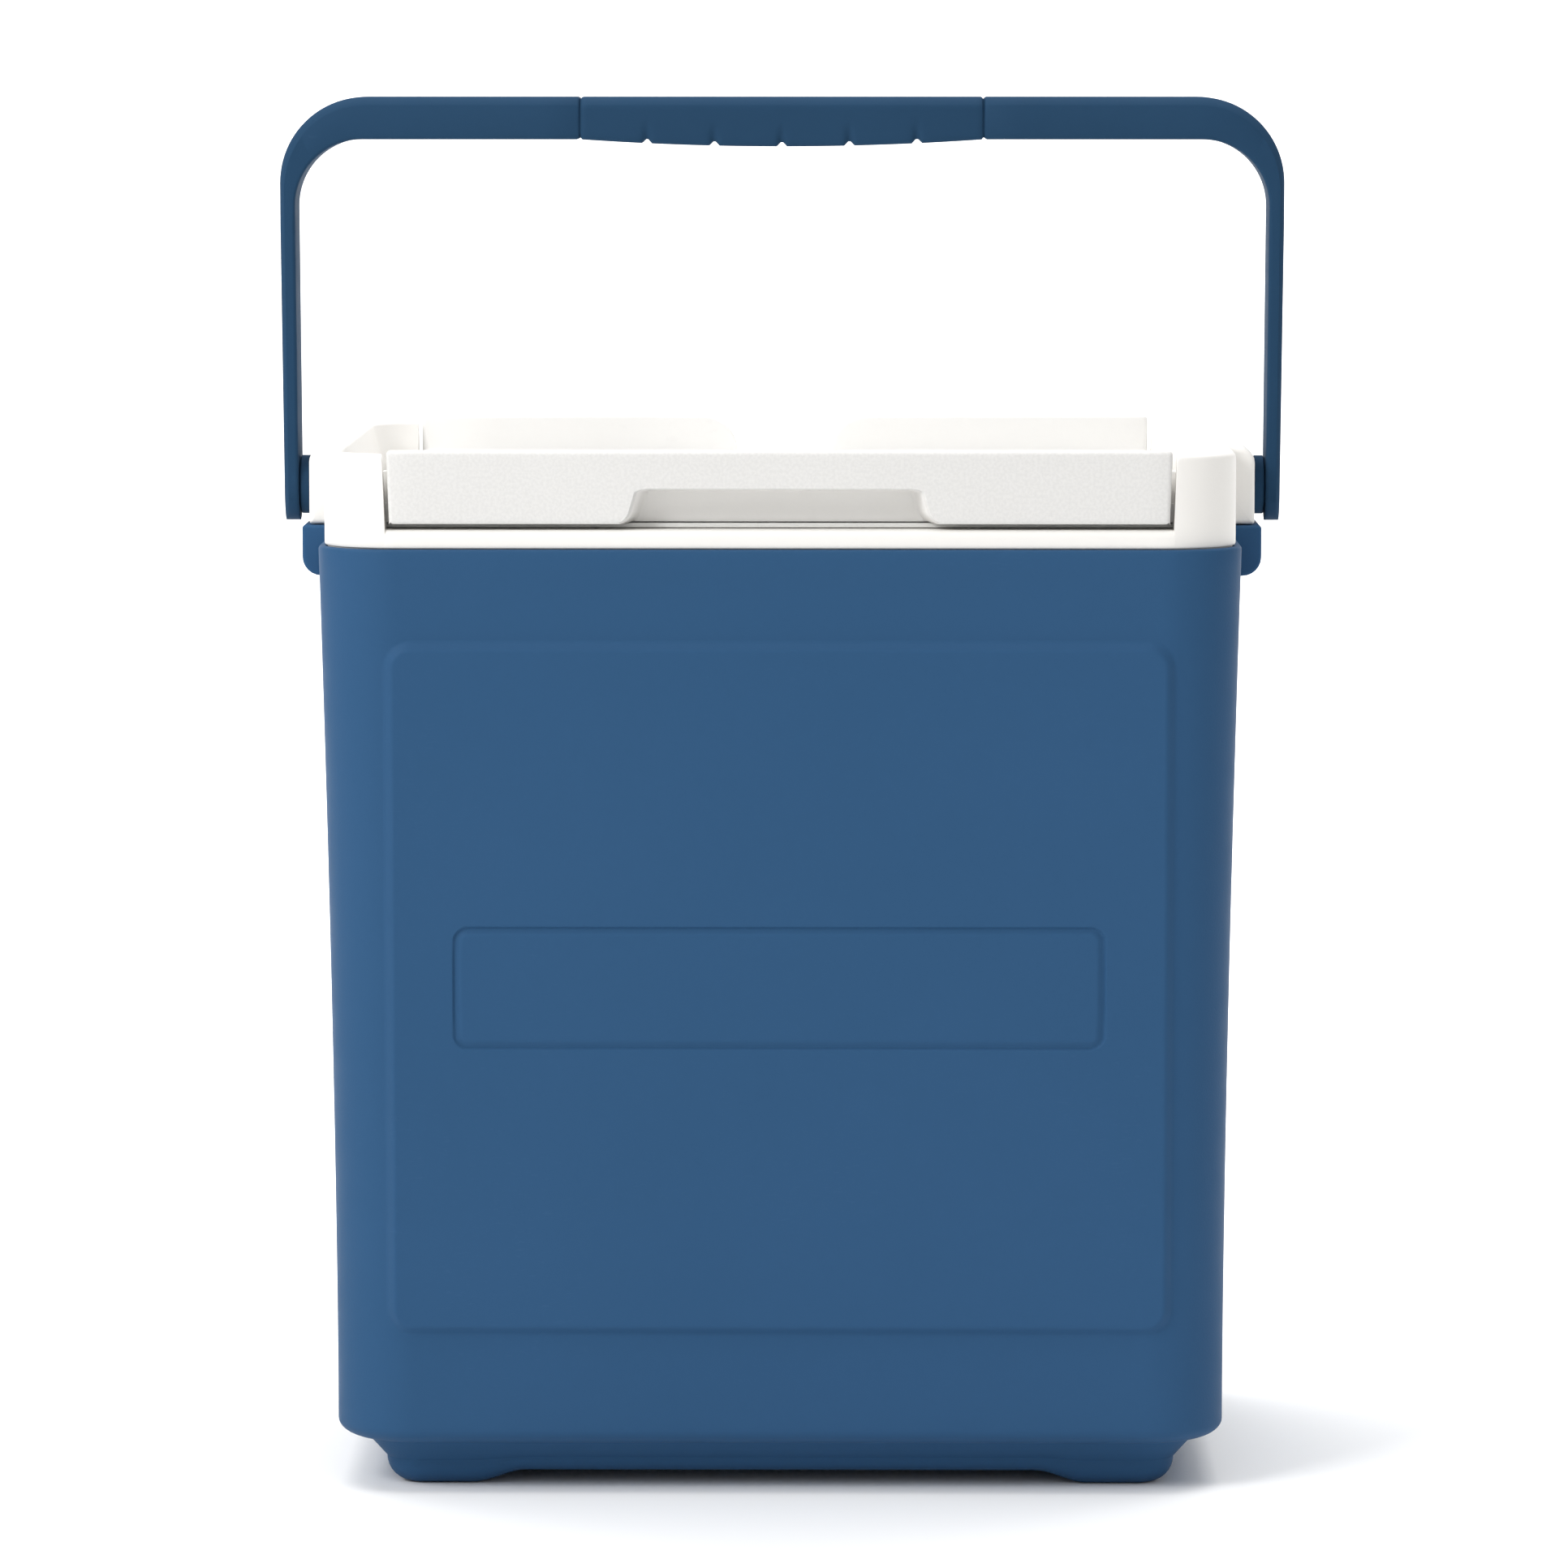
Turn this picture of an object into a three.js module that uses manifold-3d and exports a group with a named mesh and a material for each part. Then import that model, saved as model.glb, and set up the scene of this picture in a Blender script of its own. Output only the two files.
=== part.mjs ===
// Personal cooler chest: foam-filled tub, white collar, hinged stacking lid and a bail handle.
// Millimetres, +Z up, front of the chest at -Y, origin on the floor under the middle of the chest.

import * as THREE from 'three';
import { mergeVertices } from 'three/addons/utils/BufferGeometryUtils.js';
import Module from 'manifold-3d';

// General
const GAP = 0.3; // air between touching pieces
const OVERSHOOT = 5; // how far a cutter runs past the face it opens
const CORNER_STEPS = 3; // divisions of an arc, doubled by the shape sampler
const ROD_STEPS = 24; // sides of a round hole or pin
const REACH = 200; // half length of a cutter that passes right through the chest

// Outer shell
const SHELL_TOP = 343.7;
const SHELL_STRAIGHT_FROM = 28.9; // the walls flare from here up
const SHELL_BASE_HALF_WIDTH = 161.6;
const SHELL_FLARE = 5.2; // how much wider each side is at the top
const SHELL_FLARE_POWER = 1.6;
const WIDTH_OVER_DEPTH = 43; // half width less half depth, the same at every height
const SHELL_CORNER = 29;
const SHELL_LEAST_CORNER = 8;
const SHELL_WALL = 2.8;
const WALL_HEIGHTS = [68, 127, 187, 246, 300]; // where the curved flare is sampled

// Foot: height and inset of its outline, from the sole up over the step to the walls
const FOOT_PROFILE = [[0, 25.5], [1.5, 20.9], [5, 17.9], [10, 16.6], [17, 10.5], [18, 5.2], [20, 1.4], [22.5, 0]];
const FOOT_FLOOR_THICKNESS = 3.4;
const HOLLOW_PROFILE = [[0, 24], [9, 15], [15, 9.5]]; // height above the floor and inset of the foam space
const HOLLOW_STRAIGHT_FROM = 32.9;
const ARCH_HEIGHT = 4.6;
const ARCH_FLAT_HALF = 93;
const ARCH_FOOT_HALF = 112;

// Raised panels on the front and the back
const PANEL_HALF_WIDTH = 142.2;
const PANEL_LOW = 58.6;
const PANEL_HIGH = 310.8;
const PANEL_PROUD = 1.5;
const PANEL_BEVEL = 3.4;
const PANEL_BEVEL_DEPTH = 1.9;
const PANEL_CORNER = 8;

// Engraved frame for a nameplate
const FRAME_HALF_WIDTH = 116.6;
const FRAME_LOW = 164;
const FRAME_HIGH = 206.6;
const FRAME_GROOVE_WIDTH = 3.5;
const FRAME_GROOVE_DEPTH = 1;
const FRAME_CORNER = 3.5;

// Brackets on the shell under the handle bosses
const BRACKET_OUT = 177.2;
const BRACKET_HALF_DEPTH = 25;
const BRACKET_LOW = 327.6;
const BRACKET_HIGH = 346.3;
const BRACKET_ROUND = 6;
const BRACKET_CHAMFER = 1;

// Liner
const LINER_WALL = 2.2;
const LINER_FLOOR = 30.2;
const LINER_TOP_HALF_WIDTH = 143.6;
const LINER_BASE_HALF_WIDTH = 138.4;
const LINER_CORNER = 20;
const LINER_FLOOR_CHAMFER = 6;
const LINER_FLANGE_TOP = SHELL_TOP - GAP;
const LINER_FLANGE_HALF_WIDTH = 160;
const LINER_FLANGE_CORNER = 24;

// Collar
const COLLAR_HALF_WIDTH = 165;
const COLLAR_HALF_DEPTH = 122.2;
const COLLAR_CORNER = 28;
const COLLAR_TOP = 377.7;
const COLLAR_LEDGE = 350.6;
const COLLAR_WALL = 9.8;
const MOUTH_HALF_WIDTH = 144;
const MOUTH_HALF_DEPTH = 101;
const NOTCH_HALF_WIDTH_TOP = 142.4;
const NOTCH_HALF_WIDTH_LOW = 141.6;
const RIB_DEPTH = 6;
const RIB_THICKNESS = 2.6;
const RIB_CLEARANCE = 0.4; // air between the rib and the shell's wall

// Bosses on the collar that carry the handle
const BOSS_OUT = 175.2;
const BOSS_HALF_DEPTH = 23;
const BOSS_LOW = BRACKET_HIGH + GAP;
const BOSS_HIGH = 375.1;
const BOSS_ROUND = 3.5;

// Lid
const LID_SIDE_AIR = 0.6;
const LID_FRONT_AIR = 0.5;
const LID_HALF_WIDTH = COLLAR_HALF_WIDTH - COLLAR_WALL - LID_SIDE_AIR;
const LID_FRONT = -(COLLAR_HALF_DEPTH - COLLAR_WALL - LID_FRONT_AIR);
const LID_REAR = 98.5; // the broad part ends here so that its corners swing clear of the posts
const LID_UNDERSIDE = 352.8;
const LID_FLOOR = 360;
const LID_TOP_SKIN = 2.8;
const LID_EDGE_WALL = 3;
const LID_CORNER = 18;
const LID_RIM_TOP = 379;
const TONGUE_HALF_WIDTH = 140.9;
const RIM_ROUND = 2;
const FRONT_RIM_THICKNESS = 7;
const FRONT_RIM_ROOT = LID_FRONT + 10; // the rim runs this far back inside the plate
const FRONT_LEDGE = 368.5; // covers the finger pocket
const FRONT_LEDGE_DEPTH = 17.7;
const RIM_FILLET = 3;
const REAR_RIM_ROOT = LID_REAR - 4;
const REAR_FENCE_THICKNESS = 4.2;
const REAR_FENCE_ROUND = 1.5;
const REAR_LEDGE = 366;
const REAR_LEDGE_FRONT = 110;
const REAR_LEDGE_SLOPE = 3;
const FENCE_GAP_HALF = 18.3;
const FENCE_END_RADIUS = 14;

// Finger pocket in the front of the lid
const POCKET_TOP = 365.5;
const POCKET_HALF_TOP = 52.2;
const POCKET_HALF_LOW = 57.5;
const POCKET_DEPTH = 14;
const POCKET_NARROWING = 5; // each side, at the back wall
const POCKET_LOWERING = 1.25; // how much lower its top is at the back wall
const POCKET_CORNER = 5;

// Lid inner panel
const PANEL_FLANGE_LOW = COLLAR_LEDGE + GAP;
const PANEL_FLANGE_TOP = LID_UNDERSIDE - GAP;
const PANEL_FLANGE_INSET = 1.5; // from the edge of the cover's plate
const PLUG_LOW = 330;
const PLUG_HALF_WIDTH = 141.6;
const PLUG_HALF_DEPTH = 98.6;
const PLUG_TAPER = 2;
const PLUG_WALL = 2.2;

// Lid hinge
const HINGE_Y = 117.3;
const HINGE_Z = 360;
const HINGE_PIN_RADIUS = 3;
const HINGE_PIN_INNER = 126;
const HINGE_PIN_OUTER = 150;

// Handle
const PIVOT_Z = 360.2;
const HANDLE_TOP = 504.3;
const BAR_LOW = 488.6;
const ARM_OUT_TOP = 185.6;
const ARM_OUT_LOW = 184.5;
const ARM_IN_TOP = 180.5;
const ARM_IN_LOW = 179.8;
const HANDLE_HALF_DEPTH = 13.3;
const OUTER_BEND = 31.8;
const INNER_BEND = 24.8;

// Grip
const GRIP_HALF_LENGTH = 74.8;
const GRIP_BULGE = 2.6;
const NOTCH_PITCH = 25;
const NOTCH_COUNT = 5;
const NOTCH_RADIUS = 2;
const CORE_HALF_DEPTH = 9;
const CORE_LOW = 491.8;
const CORE_HIGH = 501;

// Pivot studs
const HUB_RADIUS = 10.9;
const TRUNNION_RADIUS = 6;
const TRUNNION_END = 159;
const TRUNNION_CHAMFER = 1;

// Foam fill plug
const PLUG_HOLE_RADIUS = 9;

const wasm = await Module();
wasm.setup();

const BLUE = { color: 0x385b81, roughness: 0.45, metalness: 0 };
const HANDLE_BLUE = { color: 0x325078, roughness: 0.45, metalness: 0 };
const WHITE = { color: 0xf3f1ee, roughness: 0.4, metalness: 0 };
const LINER_WHITE = { color: 0xf7f7f5, roughness: 0.35, metalness: 0 };
const FOAM = { color: 0xe8d9a8, roughness: 0.9, metalness: 0 };
const STEEL = { color: 0xb8bcc0, roughness: 0.3, metalness: 1 };

// ---- shared geometry tools ----

function toSolid(geometry) {
  const bare = geometry.clone();
  bare.deleteAttribute('normal');
  bare.deleteAttribute('uv');
  const merged = mergeVertices(bare);
  const vertProperties = new Float32Array(merged.attributes.position.array);
  const triVerts = new Uint32Array(merged.index.array);
  return new wasm.Manifold(new wasm.Mesh({ numProp: 3, vertProperties, triVerts }));
}

function toGeometry(solid) {
  const mesh = solid.getMesh();
  const geometry = new THREE.BufferGeometry();
  geometry.setAttribute('position', new THREE.BufferAttribute(mesh.vertProperties, mesh.numProp));
  geometry.setIndex(new THREE.BufferAttribute(mesh.triVerts, 1));
  geometry.computeVertexNormals();
  return geometry;
}

function piece(name, solid, finish) {
  const mesh = new THREE.Mesh(toGeometry(solid), new THREE.MeshStandardMaterial(finish));
  mesh.name = name;
  return mesh;
}

function roundedRectangle(halfWidth, halfHeight, radius) {
  const right = halfWidth - radius;
  const top = halfHeight - radius;
  const shape = new THREE.Shape();
  shape.moveTo(halfWidth, -top);
  shape.absarc(right, top, radius, 0, Math.PI / 2, false);
  shape.absarc(-right, top, radius, Math.PI / 2, Math.PI, false);
  shape.absarc(-right, -top, radius, Math.PI, Math.PI * 1.5, false);
  shape.absarc(right, -top, radius, Math.PI * 1.5, Math.PI * 2, false);
  return shape;
}

function outline(shape) {
  const points = shape.getPoints(CORNER_STEPS);
  if (points[0].distanceTo(points[points.length - 1]) < 1e-6) {
    points.pop();
  }
  return points;
}

// A closed skin over rings of points with equal counts; the first and last rings are capped.
function skin(rings) {
  const count = rings[0].length;
  const positions = rings.flat().flatMap((point) => point.toArray());
  const indices = [];
  for (let ring = 0; ring < rings.length - 1; ring += 1) {
    for (let i = 0; i < count; i += 1) {
      const a = ring * count + i;
      const b = ring * count + ((i + 1) % count);
      indices.push(a, b, a + count, b, b + count, a + count);
    }
  }
  const last = (rings.length - 1) * count;
  for (let i = 1; i < count - 1; i += 1) {
    indices.push(0, i + 1, i);
    indices.push(last, last + i, last + i + 1);
  }
  const geometry = new THREE.BufferGeometry();
  geometry.setAttribute('position', new THREE.Float32BufferAttribute(positions, 3));
  geometry.setIndex(indices);
  return geometry;
}

// A solid through rounded rectangles that lie level, one for each entry of levels, lowest first.
function loft(levels) {
  const rings = levels.map(({ z, halfX, halfY, radius }) =>
    outline(roundedRectangle(halfX, halfY, radius)).map((p) => new THREE.Vector3(p.x, p.y, z)));
  return toSolid(skin(rings));
}

function block(halfX, halfY, radius, low, high) {
  return loft([{ z: low, halfX, halfY, radius }, { z: high, halfX, halfY, radius }]);
}

// A shape drawn in Y and Z, swept along X between two planes.
function sweepX(shape, from, to) {
  const geometry = new THREE.ExtrudeGeometry(shape, {
    depth: to - from, bevelEnabled: false, curveSegments: CORNER_STEPS * 2,
  });
  const turn = new THREE.Matrix4().makeBasis(
    new THREE.Vector3(0, 1, 0), new THREE.Vector3(0, 0, 1), new THREE.Vector3(1, 0, 0));
  geometry.applyMatrix4(turn);
  geometry.translate(from, 0, 0);
  return toSolid(geometry);
}

// A shape drawn in X and Z, swept along Y between two planes.
function sweepY(shape, from, to) {
  const geometry = new THREE.ExtrudeGeometry(shape, {
    depth: to - from, bevelEnabled: false, curveSegments: CORNER_STEPS * 4,
  });
  geometry.rotateX(Math.PI / 2);
  geometry.translate(0, to, 0);
  return toSolid(geometry);
}

function box(x0, x1, y0, y1, z0, z1) {
  const geometry = new THREE.BoxGeometry(x1 - x0, y1 - y0, z1 - z0);
  geometry.translate((x0 + x1) / 2, (y0 + y1) / 2, (z0 + z1) / 2);
  return toSolid(geometry);
}

function rodX(radius, from, to, y, z) {
  const geometry = new THREE.CylinderGeometry(radius, radius, to - from, ROD_STEPS);
  geometry.rotateZ(-Math.PI / 2);
  geometry.translate((from + to) / 2, y, z);
  return toSolid(geometry);
}

function rodZ(radius, low, high) {
  const geometry = new THREE.CylinderGeometry(radius, radius, high - low, ROD_STEPS);
  geometry.rotateX(Math.PI / 2);
  geometry.translate(0, 0, (low + high) / 2);
  return toSolid(geometry);
}

function polygon(points) {
  return new THREE.Shape(points.map(([x, y]) => new THREE.Vector2(x, y)));
}

// The same solid turned half way round, for the other side of the chest.
function mirrored(solid) {
  const geometry = toGeometry(solid);
  geometry.rotateZ(Math.PI);
  return toSolid(geometry);
}

function shifted(solid, y) {
  const geometry = toGeometry(solid);
  geometry.translate(0, y, 0);
  return toSolid(geometry);
}

// The two ends of a span, lower first, on the left or the right side.
function sideSpan(side, near, far) {
  return [side * near, side * far].sort((a, b) => a - b);
}

// ---- the tub ----

// Half width of the shell's outer face at a height on its straight walls.
function shellHalfWidth(z) {
  const share = (z - SHELL_STRAIGHT_FROM) / (SHELL_TOP - SHELL_STRAIGHT_FROM);
  return SHELL_BASE_HALF_WIDTH + SHELL_FLARE * Math.max(share, 0) ** SHELL_FLARE_POWER;
}

function shellLevel(z, inset) {
  const halfX = shellHalfWidth(z) - inset;
  return { z, halfX, halfY: halfX - WIDTH_OVER_DEPTH, radius: Math.max(SHELL_CORNER - inset, SHELL_LEAST_CORNER) };
}

function outerShell() {
  const body = loft([
    ...FOOT_PROFILE.map(([z, inset]) => shellLevel(z, inset)),
    ...WALL_HEIGHTS.map((z) => shellLevel(z, 0)),
    shellLevel(SHELL_TOP, 0),
  ]);
  const hollow = shellHollow(0, SHELL_TOP + OVERSHOOT);
  const arch = polygon([
    [-ARCH_FOOT_HALF, -OVERSHOOT],
    [ARCH_FOOT_HALF, -OVERSHOOT],
    [ARCH_FOOT_HALF, 0],
    [ARCH_FLAT_HALF, ARCH_HEIGHT],
    [-ARCH_FLAT_HALF, ARCH_HEIGHT],
    [-ARCH_FOOT_HALF, 0],
  ]);
  const fillHole = rodZ(PLUG_HOLE_RADIUS + GAP, 0, ARCH_HEIGHT + FOOT_FLOOR_THICKNESS + OVERSHOOT);
  const front = raisedPanel();
  const right = bracket();
  let shell = body.add(front).add(mirrored(front)).add(right).add(mirrored(right));
  shell = shell.subtract(hollow).subtract(sweepY(arch, -REACH, REACH));
  return shell.subtract(fillHole).subtract(nameplateFrame());
}

// The space inside the shell's walls, drawn in by a further inset.
function shellHollow(inset, top) {
  const wall = SHELL_WALL + inset;
  const floor = ARCH_HEIGHT + FOOT_FLOOR_THICKNESS + inset;
  return loft([
    ...HOLLOW_PROFILE.map(([rise, drawnIn]) => shellLevel(floor + rise, drawnIn + inset)),
    shellLevel(HOLLOW_STRAIGHT_FROM, wall),
    ...WALL_HEIGHTS.map((z) => shellLevel(z, wall)),
    { ...shellLevel(Math.min(top, SHELL_TOP), wall), z: top },
  ]);
}

// Lean of the front wall between the panel's lower and upper edges, and its middle.
const PANEL_MIDDLE = (PANEL_LOW + PANEL_HIGH) / 2;
const PANEL_RISE = PANEL_HIGH - PANEL_LOW;
const PANEL_LEAN = Math.atan((shellHalfWidth(PANEL_HIGH) - shellHalfWidth(PANEL_LOW)) / PANEL_RISE);
const PANEL_FACE_Y = -((shellHalfWidth(PANEL_HIGH) + shellHalfWidth(PANEL_LOW)) / 2
  - WIDTH_OVER_DEPTH + PANEL_PROUD);

// Moves a solid drawn upright about the origin, face towards -Y, on to the leaning front wall.
function ontoFront(geometry, z) {
  geometry.translate(0, 0, z - PANEL_MIDDLE);
  geometry.rotateX(PANEL_LEAN);
  geometry.translate(0, PANEL_FACE_Y, PANEL_MIDDLE);
  return toSolid(geometry);
}

function raisedPanel() {
  const shape = roundedRectangle(PANEL_HALF_WIDTH, PANEL_RISE / 2, PANEL_CORNER);
  const geometry = new THREE.ExtrudeGeometry(shape, {
    depth: PANEL_PROUD,
    bevelEnabled: true,
    bevelThickness: PANEL_BEVEL_DEPTH,
    bevelSize: PANEL_BEVEL,
    bevelOffset: -PANEL_BEVEL,
    bevelSegments: 1,
    curveSegments: CORNER_STEPS * 2,
  });
  const thickness = PANEL_PROUD + PANEL_BEVEL_DEPTH;
  geometry.rotateX(Math.PI / 2);
  geometry.translate(0, thickness, 0);
  return ontoFront(geometry, PANEL_MIDDLE).subtract(box(-REACH, REACH, PANEL_FACE_Y + thickness, 0, 0, SHELL_TOP));
}

function nameplateFrame() {
  const halfHeight = (FRAME_HIGH - FRAME_LOW) / 2;
  const half = FRAME_GROOVE_WIDTH / 2;
  const ring = roundedRectangle(FRAME_HALF_WIDTH + half, halfHeight + half, FRAME_CORNER + half);
  ring.holes.push(roundedRectangle(FRAME_HALF_WIDTH - half, halfHeight - half, FRAME_CORNER - half));
  const geometry = new THREE.ExtrudeGeometry(ring, {
    depth: OVERSHOOT, bevelEnabled: false, curveSegments: CORNER_STEPS * 2,
  });
  geometry.rotateX(Math.PI / 2);
  geometry.translate(0, FRAME_GROOVE_DEPTH, 0);
  return ontoFront(geometry, (FRAME_LOW + FRAME_HIGH) / 2);
}

function bracket() {
  const shape = new THREE.Shape();
  const inside = shellHalfWidth(BRACKET_LOW) - SHELL_WALL / 2;
  const besideCollar = shellHalfWidth(SHELL_TOP) - SHELL_WALL / 2;
  shape.moveTo(inside, BRACKET_LOW);
  shape.lineTo(BRACKET_OUT - BRACKET_ROUND, BRACKET_LOW);
  shape.absarc(BRACKET_OUT - BRACKET_ROUND, BRACKET_LOW + BRACKET_ROUND, BRACKET_ROUND, -Math.PI / 2, 0, false);
  shape.lineTo(BRACKET_OUT, BRACKET_HIGH - BRACKET_CHAMFER);
  shape.lineTo(BRACKET_OUT - BRACKET_CHAMFER, BRACKET_HIGH);
  shape.lineTo(besideCollar, BRACKET_HIGH);
  shape.lineTo(besideCollar, SHELL_TOP);
  shape.lineTo(inside, SHELL_TOP);
  return sweepY(shape, -BRACKET_HALF_DEPTH, BRACKET_HALF_DEPTH);
}

function linerLevel(z, spread) {
  const share = (z - LINER_FLOOR) / (LINER_FLANGE_TOP - LINER_FLOOR);
  const halfX = LINER_BASE_HALF_WIDTH + (LINER_TOP_HALF_WIDTH - LINER_BASE_HALF_WIDTH) * share + spread;
  return { z, halfX, halfY: halfX - WIDTH_OVER_DEPTH, radius: LINER_CORNER + spread };
}

// The tub's inner surface, grown by a spread on every side.
function linerForm(spread, top) {
  const floor = LINER_FLOOR - spread;
  return loft([
    linerLevel(floor, spread - LINER_FLOOR_CHAMFER),
    linerLevel(floor + LINER_FLOOR_CHAMFER, spread),
    { ...linerLevel(LINER_FLANGE_TOP, spread), z: top },
  ]);
}

function innerLiner() {
  const flangeHalfDepth = LINER_FLANGE_HALF_WIDTH - WIDTH_OVER_DEPTH;
  const flange = block(LINER_FLANGE_HALF_WIDTH, flangeHalfDepth, LINER_FLANGE_CORNER,
    LINER_FLANGE_TOP - LINER_WALL, LINER_FLANGE_TOP);
  const tub = linerForm(LINER_WALL, LINER_FLANGE_TOP - LINER_WALL / 2);
  return flange.add(tub).subtract(linerForm(0, LINER_FLANGE_TOP + OVERSHOOT));
}

function insulationFoam() {
  const top = SHELL_TOP - RIB_DEPTH - 2 * GAP;
  return shellHollow(GAP, top).subtract(linerForm(LINER_WALL + GAP, top + OVERSHOOT));
}

function baseFillPlug() {
  const low = ARCH_HEIGHT + GAP;
  return rodZ(PLUG_HOLE_RADIUS, low, ARCH_HEIGHT + FOOT_FLOOR_THICKNESS);
}

// ---- the collar ----

function topCollar() {
  const bottom = SHELL_TOP + GAP;
  const inner = COLLAR_HALF_WIDTH - COLLAR_WALL;
  const innerDepth = COLLAR_HALF_DEPTH - COLLAR_WALL;
  const ribOut = shellHalfWidth(bottom - RIB_DEPTH) - SHELL_WALL - RIB_CLEARANCE;
  const ribIn = ribOut - RIB_THICKNESS;
  const ribCorner = SHELL_CORNER - SHELL_WALL - RIB_CLEARANCE;
  const notch = polygon([
    [-NOTCH_HALF_WIDTH_LOW, COLLAR_LEDGE],
    [NOTCH_HALF_WIDTH_LOW, COLLAR_LEDGE],
    [NOTCH_HALF_WIDTH_TOP, COLLAR_TOP + OVERSHOOT],
    [-NOTCH_HALF_WIDTH_TOP, COLLAR_TOP + OVERSHOOT],
  ]);
  const rib = block(ribOut, ribOut - WIDTH_OVER_DEPTH, ribCorner, bottom - RIB_DEPTH, bottom + RIB_THICKNESS)
    .subtract(block(ribIn, ribIn - WIDTH_OVER_DEPTH, ribCorner - RIB_THICKNESS,
      bottom - RIB_DEPTH - OVERSHOOT, bottom));
  let collar = block(COLLAR_HALF_WIDTH, COLLAR_HALF_DEPTH, COLLAR_CORNER, bottom, COLLAR_TOP);
  collar = collar.add(rib).add(boss()).add(mirrored(boss()));
  collar = collar.subtract(block(inner, innerDepth, COLLAR_CORNER - COLLAR_WALL,
    COLLAR_LEDGE, COLLAR_TOP + OVERSHOOT));
  collar = collar.subtract(block(MOUTH_HALF_WIDTH, MOUTH_HALF_DEPTH, LINER_CORNER, bottom - OVERSHOOT, COLLAR_TOP));
  collar = collar.subtract(sweepY(notch, -COLLAR_HALF_DEPTH - OVERSHOOT, COLLAR_HALF_DEPTH + OVERSHOOT));
  for (const side of [-1, 1]) {
    const trunnionHole = sideSpan(side, TRUNNION_END - GAP, BOSS_OUT + OVERSHOOT);
    collar = collar.subtract(rodX(TRUNNION_RADIUS + GAP, ...trunnionHole, 0, PIVOT_Z));
    const pinHole = sideSpan(side, NOTCH_HALF_WIDTH_LOW - OVERSHOOT, HINGE_PIN_OUTER + GAP);
    collar = collar.subtract(rodX(HINGE_PIN_RADIUS + GAP, ...pinHole, HINGE_Y, HINGE_Z));
  }
  return collar;
}

function boss() {
  const shape = new THREE.Shape();
  const inside = COLLAR_HALF_WIDTH - COLLAR_WALL / 2;
  shape.moveTo(inside, BOSS_LOW);
  shape.lineTo(BOSS_OUT, BOSS_LOW);
  shape.absarc(BOSS_OUT - BOSS_ROUND, BOSS_HIGH - BOSS_ROUND, BOSS_ROUND, 0, Math.PI / 2, false);
  shape.lineTo(inside, BOSS_HIGH);
  return sweepY(shape, -BOSS_HALF_DEPTH, BOSS_HALF_DEPTH);
}

// ---- the lid ----

function lidCover() {
  const middle = (LID_FRONT + LID_REAR) / 2;
  const halfY = (LID_REAR - LID_FRONT) / 2;
  const plate = shifted(block(LID_HALF_WIDTH, halfY, LID_CORNER, LID_UNDERSIDE, LID_FLOOR), middle);
  const pan = shifted(block(LID_HALF_WIDTH - LID_EDGE_WALL, halfY - LID_EDGE_WALL, LID_CORNER - LID_EDGE_WALL,
    LID_UNDERSIDE - OVERSHOOT, LID_FLOOR - LID_TOP_SKIN), middle);
  let cover = plate.subtract(pan).add(frontRim()).add(rearRim());
  cover = cover.subtract(fingerPocket()).subtract(fenceGap());
  for (const side of [-1, 1]) {
    const pinHole = sideSpan(side, HINGE_PIN_INNER - GAP, TONGUE_HALF_WIDTH + OVERSHOOT);
    cover = cover.subtract(rodX(HINGE_PIN_RADIUS + GAP, ...pinHole, HINGE_Y, HINGE_Z));
  }
  return cover;
}

function frontRim() {
  const face = -COLLAR_HALF_DEPTH;
  const back = face + FRONT_RIM_THICKNESS;
  const ledgeEnd = face + FRONT_LEDGE_DEPTH;
  const shape = new THREE.Shape();
  shape.moveTo(face, LID_UNDERSIDE);
  shape.lineTo(FRONT_RIM_ROOT, LID_UNDERSIDE);
  shape.lineTo(FRONT_RIM_ROOT, LID_FLOOR);
  shape.absarc(ledgeEnd + RIM_FILLET, LID_FLOOR + RIM_FILLET, RIM_FILLET, -Math.PI / 2, -Math.PI, true);
  shape.lineTo(ledgeEnd, FRONT_LEDGE);
  shape.absarc(back + RIM_FILLET, FRONT_LEDGE + RIM_FILLET, RIM_FILLET, -Math.PI / 2, -Math.PI, true);
  shape.absarc(back - RIM_ROUND, LID_RIM_TOP - RIM_ROUND, RIM_ROUND, 0, Math.PI / 2, false);
  shape.absarc(face + RIM_ROUND, LID_RIM_TOP - RIM_ROUND, RIM_ROUND, Math.PI / 2, Math.PI, false);
  return sweepX(shape, -TONGUE_HALF_WIDTH, TONGUE_HALF_WIDTH);
}

function rearRim() {
  const face = COLLAR_HALF_DEPTH;
  const inner = face - REAR_FENCE_THICKNESS;
  const round = REAR_FENCE_ROUND;
  const shape = new THREE.Shape();
  shape.moveTo(REAR_RIM_ROOT, LID_UNDERSIDE);
  shape.lineTo(face, LID_UNDERSIDE);
  shape.absarc(face - round, LID_RIM_TOP - round, round, 0, Math.PI / 2, false);
  shape.absarc(inner + round, LID_RIM_TOP - round, round, Math.PI / 2, Math.PI, false);
  shape.lineTo(inner, REAR_LEDGE);
  shape.lineTo(REAR_LEDGE_FRONT, REAR_LEDGE);
  shape.lineTo(REAR_LEDGE_FRONT - REAR_LEDGE_SLOPE, LID_FLOOR);
  shape.lineTo(REAR_RIM_ROOT, LID_FLOOR);
  return sweepX(shape, -TONGUE_HALF_WIDTH, TONGUE_HALF_WIDTH);
}

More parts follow.
